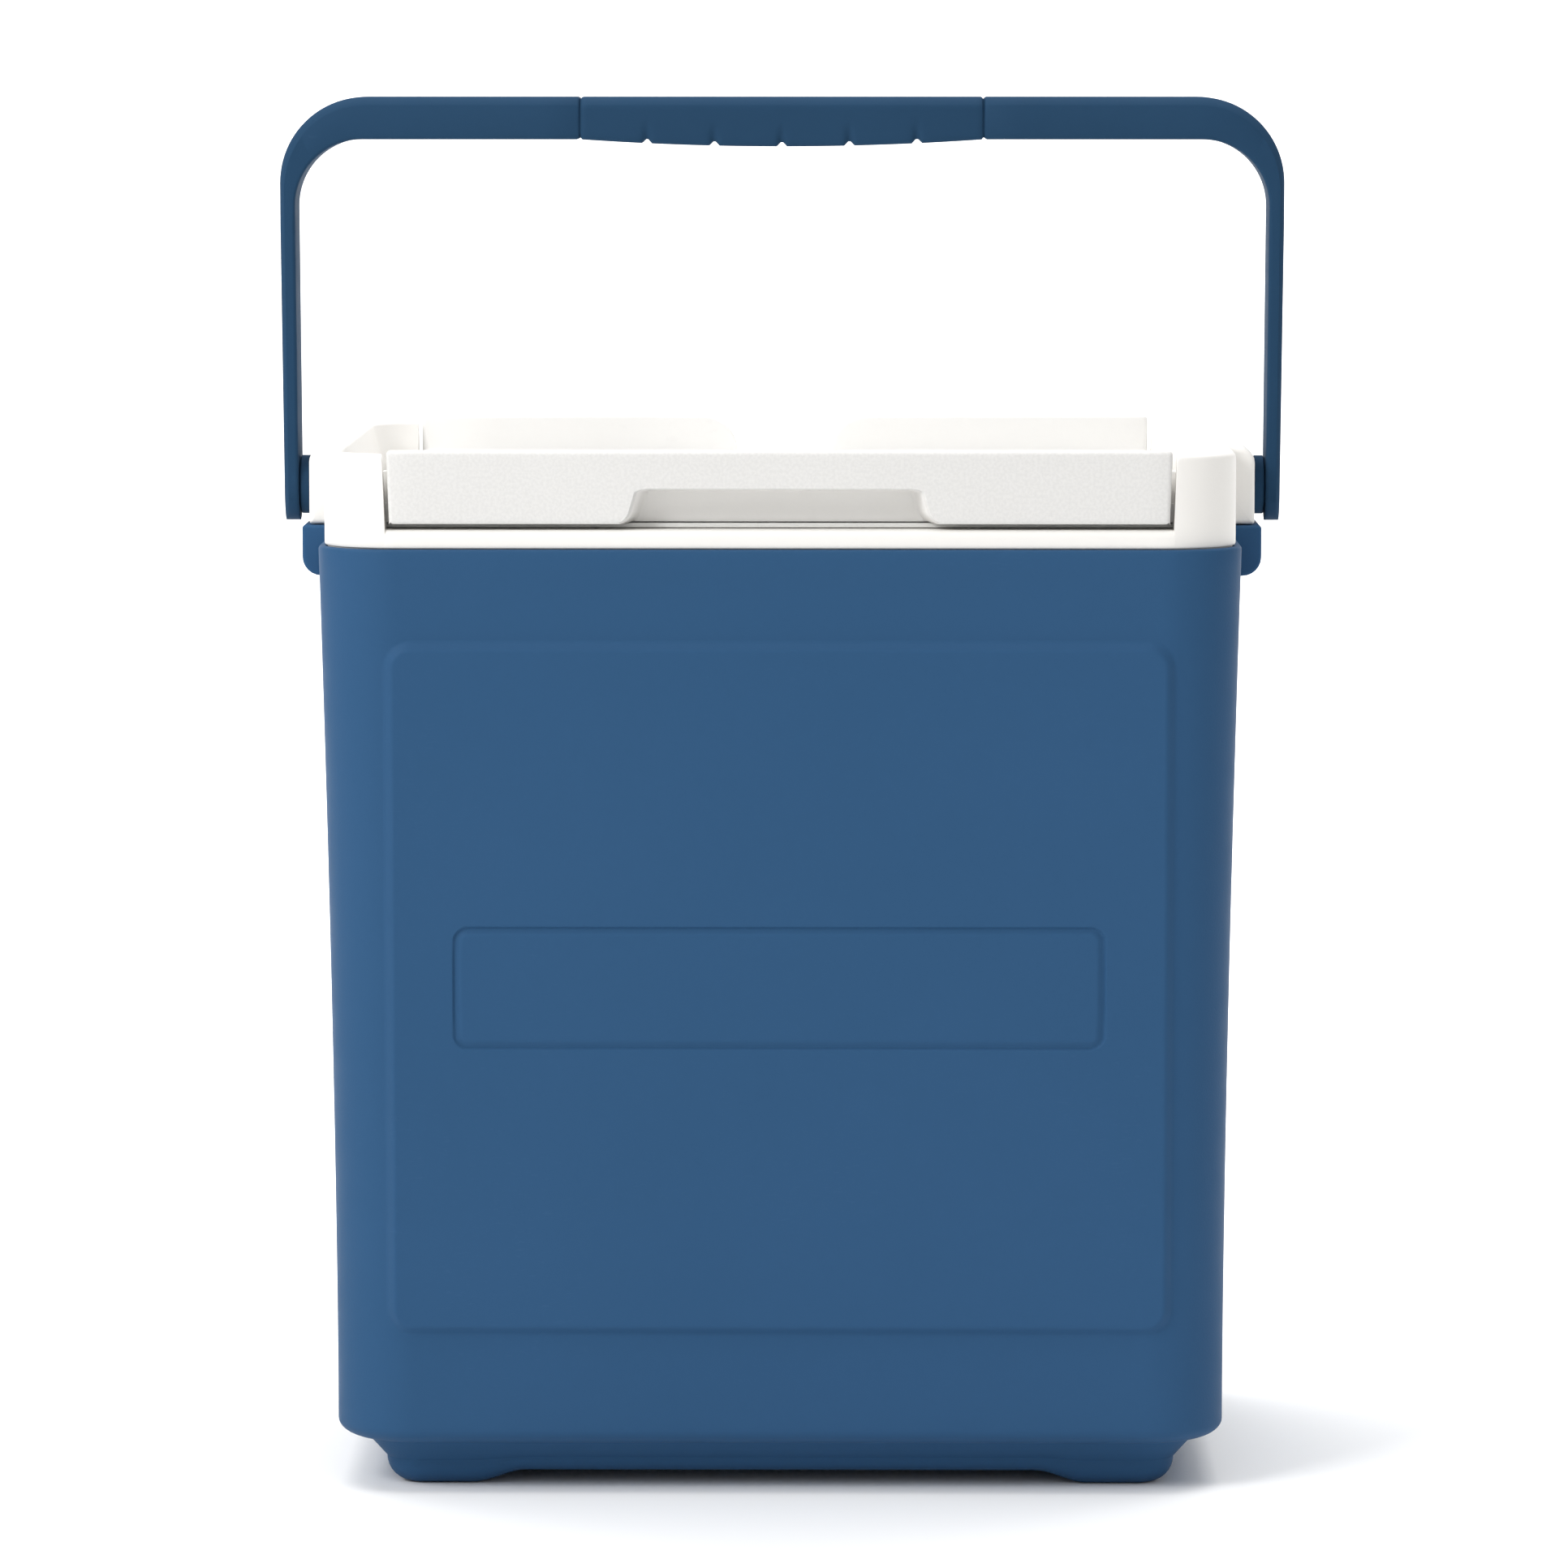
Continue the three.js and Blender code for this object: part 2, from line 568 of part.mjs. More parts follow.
// The opening between the two halves of the rear fence, with a quarter round on each side.
function fenceGap() {
  const top = LID_RIM_TOP + OVERSHOOT;
  const out = FENCE_GAP_HALF + FENCE_END_RADIUS;
  const roundLow = LID_RIM_TOP - FENCE_END_RADIUS;
  const meet = Math.asin((REAR_LEDGE - roundLow) / FENCE_END_RADIUS);
  const shape = new THREE.Shape();
  shape.moveTo(-FENCE_GAP_HALF, REAR_LEDGE);
  shape.lineTo(FENCE_GAP_HALF, REAR_LEDGE);
  shape.absarc(out, roundLow, FENCE_END_RADIUS, Math.PI - meet, Math.PI / 2, true);
  shape.lineTo(out, top);
  shape.lineTo(-out, top);
  shape.absarc(-out, roundLow, FENCE_END_RADIUS, Math.PI / 2, meet, true);
  return sweepY(shape, COLLAR_HALF_DEPTH - REAR_FENCE_THICKNESS - OVERSHOOT, COLLAR_HALF_DEPTH + OVERSHOOT);
}

// The finger pocket's outline at one depth; share is 0 at the lid's face and 1 at the pocket's back wall.
function pocketRing(share) {
  const y = -COLLAR_HALF_DEPTH + POCKET_DEPTH * share;
  const low = LID_UNDERSIDE - OVERSHOOT;
  const drawnIn = Math.max(share, 0);
  const top = POCKET_TOP - POCKET_LOWERING * drawnIn;
  const halfTop = POCKET_HALF_TOP - POCKET_NARROWING * drawnIn;
  const halfLow = POCKET_HALF_LOW - POCKET_NARROWING * drawnIn;
  const lean = Math.atan2(halfLow - halfTop, top - LID_UNDERSIDE);
  const shape = new THREE.Shape();
  shape.moveTo(-halfLow, low);
  shape.lineTo(halfLow, low);
  shape.lineTo(halfLow, LID_UNDERSIDE);
  shape.absarc(halfTop - POCKET_CORNER, top - POCKET_CORNER, POCKET_CORNER, lean, Math.PI / 2, false);
  shape.absarc(-halfTop + POCKET_CORNER, top - POCKET_CORNER, POCKET_CORNER, Math.PI / 2, Math.PI - lean, false);
  shape.lineTo(-halfLow, LID_UNDERSIDE);
  return outline(shape).map((p) => new THREE.Vector3(p.x, y, p.y));
}

function fingerPocket() {
  return toSolid(skin([pocketRing(1), pocketRing(0.5), pocketRing(0), pocketRing(-0.1)]));
}

function lidInnerPanel() {
  const middle = (LID_FRONT + LID_REAR) / 2;
  const halfY = (LID_REAR - LID_FRONT) / 2 - PANEL_FLANGE_INSET;
  const flange = shifted(block(LID_HALF_WIDTH - PANEL_FLANGE_INSET, halfY, LID_CORNER - PANEL_FLANGE_INSET,
    PANEL_FLANGE_LOW, PANEL_FLANGE_TOP), middle);
  const tray = plugForm(0, PLUG_LOW, PANEL_FLANGE_TOP - GAP);
  return flange.add(tray).subtract(plugForm(PLUG_WALL, PLUG_LOW + PLUG_WALL, PANEL_FLANGE_TOP + OVERSHOOT));
}

// The lid's plug below the flange, drawn in by an inset on every side; it tapers downwards.
function plugForm(inset, low, high) {
  const sizeAt = (z) => {
    const share = Math.max((PANEL_FLANGE_LOW - z) / (PANEL_FLANGE_LOW - PLUG_LOW), 0);
    const less = PLUG_TAPER * share + inset;
    return { z, halfX: PLUG_HALF_WIDTH - less, halfY: PLUG_HALF_DEPTH - less, radius: LINER_CORNER - less };
  };
  return loft([sizeAt(low), sizeAt(PANEL_FLANGE_LOW), sizeAt(high)]);
}

function lidFoam() {
  return plugForm(PLUG_WALL + GAP, PLUG_LOW + PLUG_WALL + GAP, LID_FLOOR - LID_TOP_SKIN - GAP)
    .intersect(box(-REACH, REACH, FRONT_RIM_ROOT + GAP, REAR_RIM_ROOT - GAP, 0, LID_FLOOR));
}

function hingePin(side) {
  return rodX(HINGE_PIN_RADIUS, ...sideSpan(side, HINGE_PIN_INNER, HINGE_PIN_OUTER), HINGE_Y, HINGE_Z);
}

// ---- the handle ----

function handleBail() {
  const low = PIVOT_Z - HANDLE_HALF_DEPTH;
  const shape = new THREE.Shape();
  shape.moveTo(ARM_IN_LOW, low);
  shape.lineTo(ARM_OUT_LOW, low);
  shape.lineTo(ARM_OUT_LOW, PIVOT_Z);
  shape.absarc(ARM_OUT_TOP - OUTER_BEND, HANDLE_TOP - OUTER_BEND, OUTER_BEND, 0, Math.PI / 2, false);
  shape.absarc(-ARM_OUT_TOP + OUTER_BEND, HANDLE_TOP - OUTER_BEND, OUTER_BEND, Math.PI / 2, Math.PI, false);
  shape.lineTo(-ARM_OUT_LOW, PIVOT_Z);
  shape.lineTo(-ARM_OUT_LOW, low);
  shape.lineTo(-ARM_IN_LOW, low);
  shape.lineTo(-ARM_IN_LOW, PIVOT_Z);
  shape.absarc(-ARM_IN_TOP + INNER_BEND, BAR_LOW - INNER_BEND, INNER_BEND, Math.PI, Math.PI / 2, true);
  shape.absarc(ARM_IN_TOP - INNER_BEND, BAR_LOW - INNER_BEND, INNER_BEND, Math.PI / 2, 0, true);
  shape.lineTo(ARM_IN_LOW, PIVOT_Z);
  const side = new THREE.Shape();
  side.moveTo(HANDLE_HALF_DEPTH, HANDLE_TOP + OVERSHOOT);
  side.lineTo(-HANDLE_HALF_DEPTH, HANDLE_TOP + OVERSHOOT);
  side.absarc(0, PIVOT_Z, HANDLE_HALF_DEPTH, Math.PI, Math.PI * 2, false);
  const gripZone = box(-GRIP_HALF_LENGTH, GRIP_HALF_LENGTH, -REACH, REACH,
    BAR_LOW - OVERSHOOT, HANDLE_TOP + OVERSHOOT);
  let bail = sweepY(shape, -HANDLE_HALF_DEPTH, HANDLE_HALF_DEPTH);
  bail = bail.intersect(sweepX(side, -REACH, REACH));
  bail = bail.subtract(gripZone).add(handleCore(0, GRIP_HALF_LENGTH + OVERSHOOT));
  return bail.subtract(rodX(TRUNNION_RADIUS + GAP, -REACH, REACH, 0, PIVOT_Z));
}

// The slim middle of the bar that carries the grip.
function handleCore(spread, halfLength) {
  return box(-halfLength, halfLength, -CORE_HALF_DEPTH - spread, CORE_HALF_DEPTH + spread,
    CORE_LOW - spread, CORE_HIGH + spread);
}

function handleGrip() {
  const end = GRIP_HALF_LENGTH - GAP;
  const shape = new THREE.Shape();
  shape.moveTo(end, BAR_LOW);
  shape.lineTo(end, HANDLE_TOP);
  shape.lineTo(-end, HANDLE_TOP);
  shape.lineTo(-end, BAR_LOW);
  const underside = (x) => BAR_LOW - GRIP_BULGE * (1 - (x / end) ** 2);
  for (let i = 0; i < NOTCH_COUNT; i += 1) {
    const x = (i - (NOTCH_COUNT - 1) / 2) * NOTCH_PITCH;
    shape.lineTo(x - NOTCH_RADIUS, underside(x));
    shape.absarc(x, underside(x), NOTCH_RADIUS, Math.PI, 0, true);
  }
  const grip = sweepY(shape, -HANDLE_HALF_DEPTH, HANDLE_HALF_DEPTH);
  return grip.subtract(handleCore(GAP, GRIP_HALF_LENGTH + OVERSHOOT));
}

function pivotStud(side) {
  const hubIn = BOSS_OUT + GAP;
  const hubOut = ARM_IN_LOW - GAP;
  const profile = [
    [0, TRUNNION_END],
    [TRUNNION_RADIUS - TRUNNION_CHAMFER, TRUNNION_END],
    [TRUNNION_RADIUS, TRUNNION_END + TRUNNION_CHAMFER],
    [TRUNNION_RADIUS, hubIn],
    [HUB_RADIUS, hubIn],
    [HUB_RADIUS, hubOut],
    [TRUNNION_RADIUS, hubOut],
    [TRUNNION_RADIUS, ARM_OUT_LOW - GAP],
    [0, ARM_OUT_LOW - GAP],
  ];
  const geometry = new THREE.LatheGeometry(profile.map(([r, h]) => new THREE.Vector2(r, h)), ROD_STEPS);
  geometry.rotateZ(-Math.PI / 2);
  geometry.translate(0, 0, PIVOT_Z);
  const right = toSolid(geometry);
  return side > 0 ? right : mirrored(right);
}

const cooler = new THREE.Group();
cooler.add(
  piece('outer_shell', outerShell(), BLUE),
  piece('insulation_foam', insulationFoam(), FOAM),
  piece('inner_liner', innerLiner(), LINER_WHITE),
  piece('base_fill_plug', baseFillPlug(), BLUE),
  piece('top_collar', topCollar(), WHITE),
  piece('lid_cover', lidCover(), WHITE),
  piece('lid_foam', lidFoam(), FOAM),
  piece('lid_inner_panel', lidInnerPanel(), LINER_WHITE),
  piece('hinge_pin_left', hingePin(-1), STEEL),
  piece('hinge_pin_right', hingePin(1), STEEL),
  piece('handle_bail', handleBail(), HANDLE_BLUE),
  piece('handle_grip', handleGrip(), HANDLE_BLUE),
  piece('pivot_stud_left', pivotStud(-1), HANDLE_BLUE),
  piece('pivot_stud_right', pivotStud(1), HANDLE_BLUE),
);

export default cooler;
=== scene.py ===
"""Cooler chest: the looks of the tub, collar, lid and handle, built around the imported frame."""
import math

import bmesh
import bpy
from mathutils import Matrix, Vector


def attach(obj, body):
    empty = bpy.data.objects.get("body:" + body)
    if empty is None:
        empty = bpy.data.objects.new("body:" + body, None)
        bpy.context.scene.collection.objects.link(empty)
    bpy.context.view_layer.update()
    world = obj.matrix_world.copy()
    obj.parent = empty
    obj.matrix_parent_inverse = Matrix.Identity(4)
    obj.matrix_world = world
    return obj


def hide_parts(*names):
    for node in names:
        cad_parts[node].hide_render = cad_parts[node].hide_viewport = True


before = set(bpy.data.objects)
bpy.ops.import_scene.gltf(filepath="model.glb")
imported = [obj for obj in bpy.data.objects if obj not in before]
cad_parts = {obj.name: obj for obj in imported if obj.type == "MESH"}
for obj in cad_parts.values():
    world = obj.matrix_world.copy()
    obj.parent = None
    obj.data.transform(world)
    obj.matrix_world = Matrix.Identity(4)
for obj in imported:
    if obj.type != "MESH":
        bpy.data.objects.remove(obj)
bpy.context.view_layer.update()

# ---------------------------------------------------------------- studio
# A plain pale sweep stands under and behind the chest, lit by large soft boxes from the upper
# left and a white surround. The long lens stands a little above the lid and looks down a little.

MM = 0.001              # the chest's sizes are in millimetres, the studio's in metres
FLOOR_HALF_WIDTH = 6.0
SWEEP_BEND = 1.6        # radius of the bend between the floor and the backdrop
FLOOR_FRONT = -6.0
FLOOR_BACK = 3.0
BACKDROP_HEIGHT = 4.0
SURROUND_STRENGTH = 0.58

LENS_PLACE = (25 * MM, -2892 * MM, 526.5 * MM)
LENS_LENGTH = 178.0
LENS_LOOKS_DOWN = 5.506     # degrees
LENS_TURNED_LEFT = 0.482    # degrees

sweep_profile = [(FLOOR_FRONT, 0.0), (FLOOR_BACK, 0.0)]
for step in range(1, 25):
    angle = math.radians(90 * step / 24)
    sweep_profile.append((FLOOR_BACK + SWEEP_BEND * math.sin(angle), SWEEP_BEND * (1 - math.cos(angle))))
sweep_profile.append((FLOOR_BACK + SWEEP_BEND, BACKDROP_HEIGHT))

sweep_mesh = bpy.data.meshes.new("studio_sweep")
sweep_mesh.from_pydata(
    [(side * FLOOR_HALF_WIDTH, y, z) for y, z in sweep_profile for side in (-1, 1)],
    [],
    [(2 * i, 2 * i + 1, 2 * i + 3, 2 * i + 2) for i in range(len(sweep_profile) - 1)],
)
sweep_mesh.shade_smooth()
sweep = bpy.data.objects.new("studio_sweep", sweep_mesh)
bpy.context.scene.collection.objects.link(sweep)

paper = bpy.data.materials.new("sweep_paper")
paper.use_nodes = True
nodes, links = paper.node_tree.nodes, paper.node_tree.links
paper_shader = nodes["Principled BSDF"]
paper_shader.inputs["Roughness"].default_value = 0.95
paper_shader.inputs["Specular IOR Level"].default_value = 0.1
place = nodes.new("ShaderNodeTexCoord")
fibre = nodes.new("ShaderNodeTexNoise")
fibre.inputs["Scale"].default_value = 3.0
tone = nodes.new("ShaderNodeMix")
tone.data_type = "RGBA"
tone.inputs["A"].default_value = (0.93, 0.93, 0.93, 1)
tone.inputs["B"].default_value = (0.96, 0.96, 0.96, 1)
links.new(place.outputs["Object"], fibre.inputs["Vector"])
links.new(fibre.outputs["Fac"], tone.inputs["Factor"])
links.new(tone.outputs["Result"], paper_shader.inputs["Base Color"])
sweep_mesh.materials.append(paper)

world = bpy.data.worlds.new("soft_surround")
bpy.context.scene.world = world
world.use_nodes = True
world.node_tree.nodes["Background"].inputs["Color"].default_value = (1.0, 1.0, 1.0, 1)
world.node_tree.nodes["Background"].inputs["Strength"].default_value = SURROUND_STRENGTH


def soft_box(name, place, aim, size, watts):
    """A rectangular studio lamp at a place, turned towards its aim."""
    light = bpy.data.lights.new(name, "AREA")
    light.shape = "RECTANGLE"
    light.size, light.size_y = size
    light.energy = watts
    lamp = bpy.data.objects.new(name, light)
    lamp.location = place
    lamp.rotation_euler = (Vector(aim) - Vector(place)).to_track_quat("-Z", "Y").to_euler()
    bpy.context.scene.collection.objects.link(lamp)


soft_box("key_box", (-1.5, -1.7, 1.8), (0, 0, 0.28), (0.9, 0.9), 34)
soft_box("side_box", (-1.8, -0.6, 1.2), (0, 0, 0.35), (0.5, 1.0), 5)
soft_box("top_box", (0.0, -0.1, 2.2), (0, 0, 0.3), (1.8, 1.4), 20)
soft_box("backdrop_wash", (0.0, 1.2, 2.6), (0, 3.6, 0.6), (4.0, 1.0), 170)

lens = bpy.data.cameras.new("long_lens")
lens.sensor_width = 36
lens.lens = LENS_LENGTH
lens.clip_end = 30
camera = bpy.data.objects.new("long_lens", lens)
camera.location = LENS_PLACE
camera.rotation_euler = (math.radians(90 - LENS_LOOKS_DOWN), 0, math.radians(LENS_TURNED_LEFT))
bpy.context.scene.collection.objects.link(camera)
bpy.context.scene.camera = camera
bpy.context.scene.view_settings.view_transform = "Standard"

# ---------------------------------------------------------------- outer shell
# The tub's outer skin: one injection moulding in satin blue polyethylene. Its front and back carry
# a raised panel, the front panel an engraved frame, and its foot is two runners with an arch between.
# A bracket stands out at each side under the handle's pivot.

SHELL_TOP = 343.7
STRAIGHT_FROM = 28.9    # the walls flare from here up
LOWER_EDGE_TOP = 24.0   # the rounded lower edge runs from here down to the step over the foot
STEP = (17.6, 10.5)     # height and inset of the step
FOOT = (9.6, 17.6)      # height and inset where the foot's own rounding starts
FOOT_SOLE_INSET = 27.0
BASE_HALF_WIDTH = 161.6
FLARE = 5.2             # how much wider each side is at the top
FLARE_POWER = 1.6
WIDTH_OVER_DEPTH = 43.0     # half width less half depth, the same at every height
SHELL_CORNER = 29.0
CORNER_SHRINK = 0.9     # how fast the corner's radius falls as a ring is drawn in
SHELL_WALL = 2.8
SHELL_EDGE_ROUND = 1.2
INSIDE_HEIGHTS = (300, 240, 180, 120, 70, 32.9)
INSIDE_FLOOR = [(26, 7.5), (21.5, 13), (13, 20), (8, 24)]      # height and inset over the foot's hollow

FRONT_COLUMNS_TO = 150.0    # columns keep their own x up to here, then follow the corner round
ARCH_HEIGHT = 4.6
ARCH_FLAT = 93.0        # half width at the arch's full height
ARCH_FOOT = 112.0       # half width where it meets the floor
ARCH_FADE = 13.0        # the arch's lift fades out at this height

PANEL_HALF_WIDTH = 142.2
PANEL_LOW, PANEL_HIGH = 58.6, 310.8
PANEL_PROUD = 2.2
PANEL_BEVEL = 3.4
BEVEL_SOFTNESS = 0.4    # 0 is a straight bevel, 1 is fully eased
PANEL_CORNER = 10.0

GROOVE_HALF_WIDTH = 116.9
GROOVE_LOW, GROOVE_HIGH = 163.9, 207.2
GROOVE_DEPTH = 0.9
GROOVE_CORNER = 5.0
GROOVE_WALL, GROOVE_RAMP = 0.8, 2.8     # its steep outer side and its long inner side

BRACKET_BOX = (165.3, 177.7, 327.6, 346.3)      # inner and outer x, low and high z
BRACKET_HALF_DEPTH = 25.0
BRACKET_ROUNDS = (0.5, 7.0, 1.2, 0.5)           # inner low, outer low, outer high, inner high
PLUG_HOLE = 9.3
PLUG_HOLE_REACH = (-2, 12)
LEAST_RADIUS = 0.02     # of a turned piece at its own axis


def spaced(low, high, step):
    """Even places from low up to, but not with, high, about a step apart."""
    count = max(1, round((high - low) / step))
    return [low + (high - low) * i / count for i in range(count)]


def both_ways(half):
    """Mirrors a row of places that starts at the middle."""
    return [-x for x in reversed(half)] + half[1:]


def loop(half_x, half_y, corner, columns, arc_steps=12, side_steps=10):
    """Points round a rounded rectangle, from its front left to the right; columns keep their own x."""
    points = []
    for side in (-1, 1):
        for x in (columns if side < 0 else reversed(columns)):
            past = max(abs(x) - (half_x - corner), 0)
            points.append((x, side * (half_y - corner + math.sqrt(corner * corner - past * past))))
        start = math.asin(max((columns[-1] - half_x + corner) / corner, 0))
        turns = [start + (math.pi / 2 - start) * i / arc_steps for i in range(1, arc_steps + 1)]
        straight = half_y - corner
        arc = [(half_x - corner + corner * math.sin(a), straight + corner * math.cos(a)) for a in turns]
        run = [(half_x, straight - 2 * straight * i / side_steps) for i in range(1, side_steps)]
        back = [(x, -y) for x, y in reversed(arc)]
        points += [(-side * x, side * y) for x, y in arc + run + back]
    return points


def skin(name, rings, cap=None, closed=False):
    """A mesh piece over rings of points; cap closes the ends, and closed joins the last ring to the first."""
    size = len(rings[0])
    faces = []
    for row in range(len(rings) if closed else len(rings) - 1):
        for i in range(size):
            a, b = row * size + i, row * size + (i + 1) % size
            over = (row + 1) % len(rings) * size - row * size
            faces.append((a, b, b + over, a + over))
    if cap:
        faces += cap(0, size)
        faces += cap((len(rings) - 1) * size, size)
    mesh = bpy.data.meshes.new(name)
    mesh.from_pydata([(x * MM, y * MM, z * MM) for ring in rings for x, y, z in ring], [], faces)
    shape = bmesh.new()
    shape.from_mesh(mesh)
    bmesh.ops.recalc_face_normals(shape, faces=shape.faces)
    shape.to_mesh(mesh)
    shape.free()
    piece = bpy.data.objects.new(name, mesh)
    bpy.context.scene.collection.objects.link(piece)
    return piece


def flat_cap(first, size):
    return [tuple(range(first, first + size))]


def strip_cap(across):
    """Closes a level loop with strips from its front columns to its back ones, and a face at each end."""
    def cap(first, size):
        back = first + size // 2
        faces = []
        for i in range(across - 1):
            faces.append((first + i, back + across - 1 - i, back + across - 2 - i, first + i + 1))
        right = tuple(range(first + across - 1, back + 1))
        left = tuple(range(back + across - 1, first + size)) + (first,)
        return faces + [right, left]
    return cap


def boolean(piece, other, operation):
    """Cuts the other piece from this one, or joins it on, and deletes the other."""
    modifier = piece.modifiers.new("cut", "BOOLEAN")
    modifier.operation = operation
    modifier.object = other
    modifier.solver = "EXACT"
    mesh = bpy.data.meshes.new_from_object(piece.evaluated_get(bpy.context.evaluated_depsgraph_get()))
    piece.modifiers.clear()
    old, piece.data = piece.data, mesh
    mesh.name = piece.name
    bpy.data.meshes.remove(old)
    bpy.data.meshes.remove(other.data)


def lathe(name, profile, axis, centre, steps=64):
    """Turns (radius, place along the axis) pairs about axis 0 (X) or 2 (Z) through a centre."""
    rings = []
    for radius, along in profile:
        radius = max(radius, LEAST_RADIUS)
        ring = []
        for i in range(steps):
            a = 2 * math.pi * i / steps
            u, v = centre[0] + radius * math.cos(a), centre[1] + radius * math.sin(a)
            ring.append((along, u, v) if axis == 0 else (u, v, along))
        rings.append(ring)
    return skin(name, rings, flat_cap)


def drill(piece, axis, radius, reach, centre):
    """Cuts a round hole through a piece, from one place along the axis to another."""
    profile = [(radius, along) for along in sorted(reach)]
    boolean(piece, lathe("cutter", profile, axis, centre, 48), "DIFFERENCE")


def finish(piece, body, node, material, sharp=35):
    """Smooths the faces up to a sharp angle and ties the piece to its body, CAD node and slot."""
    piece.data.shade_smooth()
    piece.data.set_sharp_from_angle(angle=math.radians(sharp))
    piece.data.materials.clear()
    piece.data.materials.append(material)
    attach(piece, body)
    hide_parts(node)


def smooth_step(share):
    """Eases a share from 0 to 1 with no corner at either end."""
    share = min(max(share, 0.0), 1.0)
    return share * share * (3 - 2 * share)


def shell_half_width(z):
    """Half the shell's width at height z, flaring upwards."""
    share = max(z - STRAIGHT_FROM, 0) / (SHELL_TOP - STRAIGHT_FROM)
    return BASE_HALF_WIDTH + FLARE * share ** FLARE_POWER


def rounded_box_distance(x, z, half_x, half_z, radius):
    """Distance from a rounded rectangle's outline, negative inside."""
    dx = abs(x) - half_x + radius
    dz = abs(z) - half_z + radius
    return math.hypot(max(dx, 0), max(dz, 0)) + min(max(dx, dz), 0) - radius


def arch_height(x):
    """How far the arch lifts the sole at x."""
    return ARCH_HEIGHT * smooth_step((ARCH_FOOT - abs(x)) / (ARCH_FOOT - ARCH_FLAT))


def relief_y(x, z, wall_y, front):
    """How far out the front or back wall stands at x and z, with its panel and groove."""
    middle = (PANEL_LOW + PANEL_HIGH) / 2
    half_panel = (PANEL_HIGH - PANEL_LOW) / 2
    outside = rounded_box_distance(x, z - middle, PANEL_HALF_WIDTH, half_panel, PANEL_CORNER)
    face = shell_half_width(z) - WIDTH_OVER_DEPTH + PANEL_PROUD
    ramp = min(max(-outside / PANEL_BEVEL, 0), 1)
    y = wall_y + (face - wall_y) * (ramp + (smooth_step(ramp) - ramp) * BEVEL_SOFTNESS)
    if front:
        plate = (GROOVE_LOW + GROOVE_HIGH) / 2
        half_plate = (GROOVE_HIGH - GROOVE_LOW) / 2
        past = rounded_box_distance(x, z - plate, GROOVE_HALF_WIDTH, half_plate, GROOVE_CORNER)
        y -= GROOVE_DEPTH * smooth_step(1 - past / GROOVE_WALL if past > 0 else 1 + past / GROOVE_RAMP)
    return y


# Columns and rows stand closest together over the groove and the panel's bevel.
FINE, MIDDLING = 0.4, 0.7
by_groove = (GROOVE_HALF_WIDTH - 5.9, GROOVE_HALF_WIDTH + 1.3, GROOVE_HALF_WIDTH + 2.7)
by_bevel = (PANEL_HALF_WIDTH - 11.2, PANEL_HALF_WIDTH + 1.2)
shell_columns = both_ways(
    spaced(0, ARCH_FLAT - 4, 9)
    + spaced(ARCH_FLAT - 4, by_groove[0], 2.4)
    + spaced(by_groove[0], by_groove[1], FINE)
    + spaced(by_groove[1], by_groove[2], MIDDLING)
    + spaced(by_groove[2], by_bevel[0], 2.8)
    + spaced(by_bevel[0], by_bevel[1], MIDDLING)
    + spaced(by_bevel[1], FRONT_COLUMNS_TO, 2.2)
    + [FRONT_COLUMNS_TO]
)


def shell_ring(z, inset, outside=True):
    """One ring of the shell's skin at height z, drawn in by inset; the outside has relief and the arch."""
    half_x = shell_half_width(z) - inset
    squeeze = half_x / shell_half_width(z)
    columns = [x * squeeze for x in shell_columns]
    corner = SHELL_CORNER - CORNER_SHRINK * inset
    ring = loop(half_x, half_x - WIDTH_OVER_DEPTH, corner, columns, 14, 10)
    if outside and z > STRAIGHT_FROM:
        ring = [(x, math.copysign(relief_y(x, z, abs(y), y < 0), y)) for x, y in ring]
    lift = 1 - z / ARCH_FADE if outside and z < ARCH_FADE else 0
    return [(x, y, z + lift * arch_height(x)) for x, y in ring]


# From the rounded sole up the foot, over the step and the lower edge, up the walls, then down the inside.
shell_rings = []
for step in range(9):
    angle = math.radians(90 - 11.25 * step)
    z = FOOT[0] * (1 - math.sin(angle))
    shell_rings.append(shell_ring(z, FOOT[1] + (FOOT_SOLE_INSET - FOOT[1]) * (1 - math.cos(angle))))
for share in (0.33, 0.66, 0.93, 1.0):
    z = FOOT[0] + (STEP[0] - FOOT[0]) * share
    shell_rings.append(shell_ring(z, FOOT[1] + (STEP[1] - FOOT[1]) * share))
for step in range(1, 11):
    angle = math.radians(90 - 9 * step)
    z = LOWER_EDGE_TOP - (LOWER_EDGE_TOP - STEP[0]) * math.sin(angle)
    shell_rings.append(shell_ring(z, STEP[1] * (1 - math.cos(angle))))
wall_runs = (               # from a height on, the distance between rows
    (STRAIGHT_FROM, 8),
    (PANEL_LOW - 1, MIDDLING),
    (PANEL_LOW + 10.4, 10),
    (GROOVE_LOW - 2.9, FINE),
    (GROOVE_LOW + 3.5, 5),
    (GROOVE_HIGH - 3.6, FINE),
    (GROOVE_HIGH + 1.2, 10),
    (PANEL_HIGH - 10.8, MIDDLING),
    (PANEL_HIGH + 1, 8),
    (SHELL_TOP - SHELL_EDGE_ROUND, 8),
)
for (low, row_step), (high, _) in zip(wall_runs, wall_runs[1:]):
    shell_rings += [shell_ring(z, 0) for z in spaced(low, high, row_step)]
for step in range(4):
    angle = math.radians(30 * step)
    z = SHELL_TOP - SHELL_EDGE_ROUND * (1 - math.sin(angle))
    shell_rings.append(shell_ring(z, SHELL_EDGE_ROUND * (1 - math.cos(angle))))
inside_levels = [(SHELL_TOP, SHELL_WALL - 0.3), (SHELL_TOP - 0.4, SHELL_WALL)]
inside_levels += [(z, SHELL_WALL) for z in INSIDE_HEIGHTS] + INSIDE_FLOOR
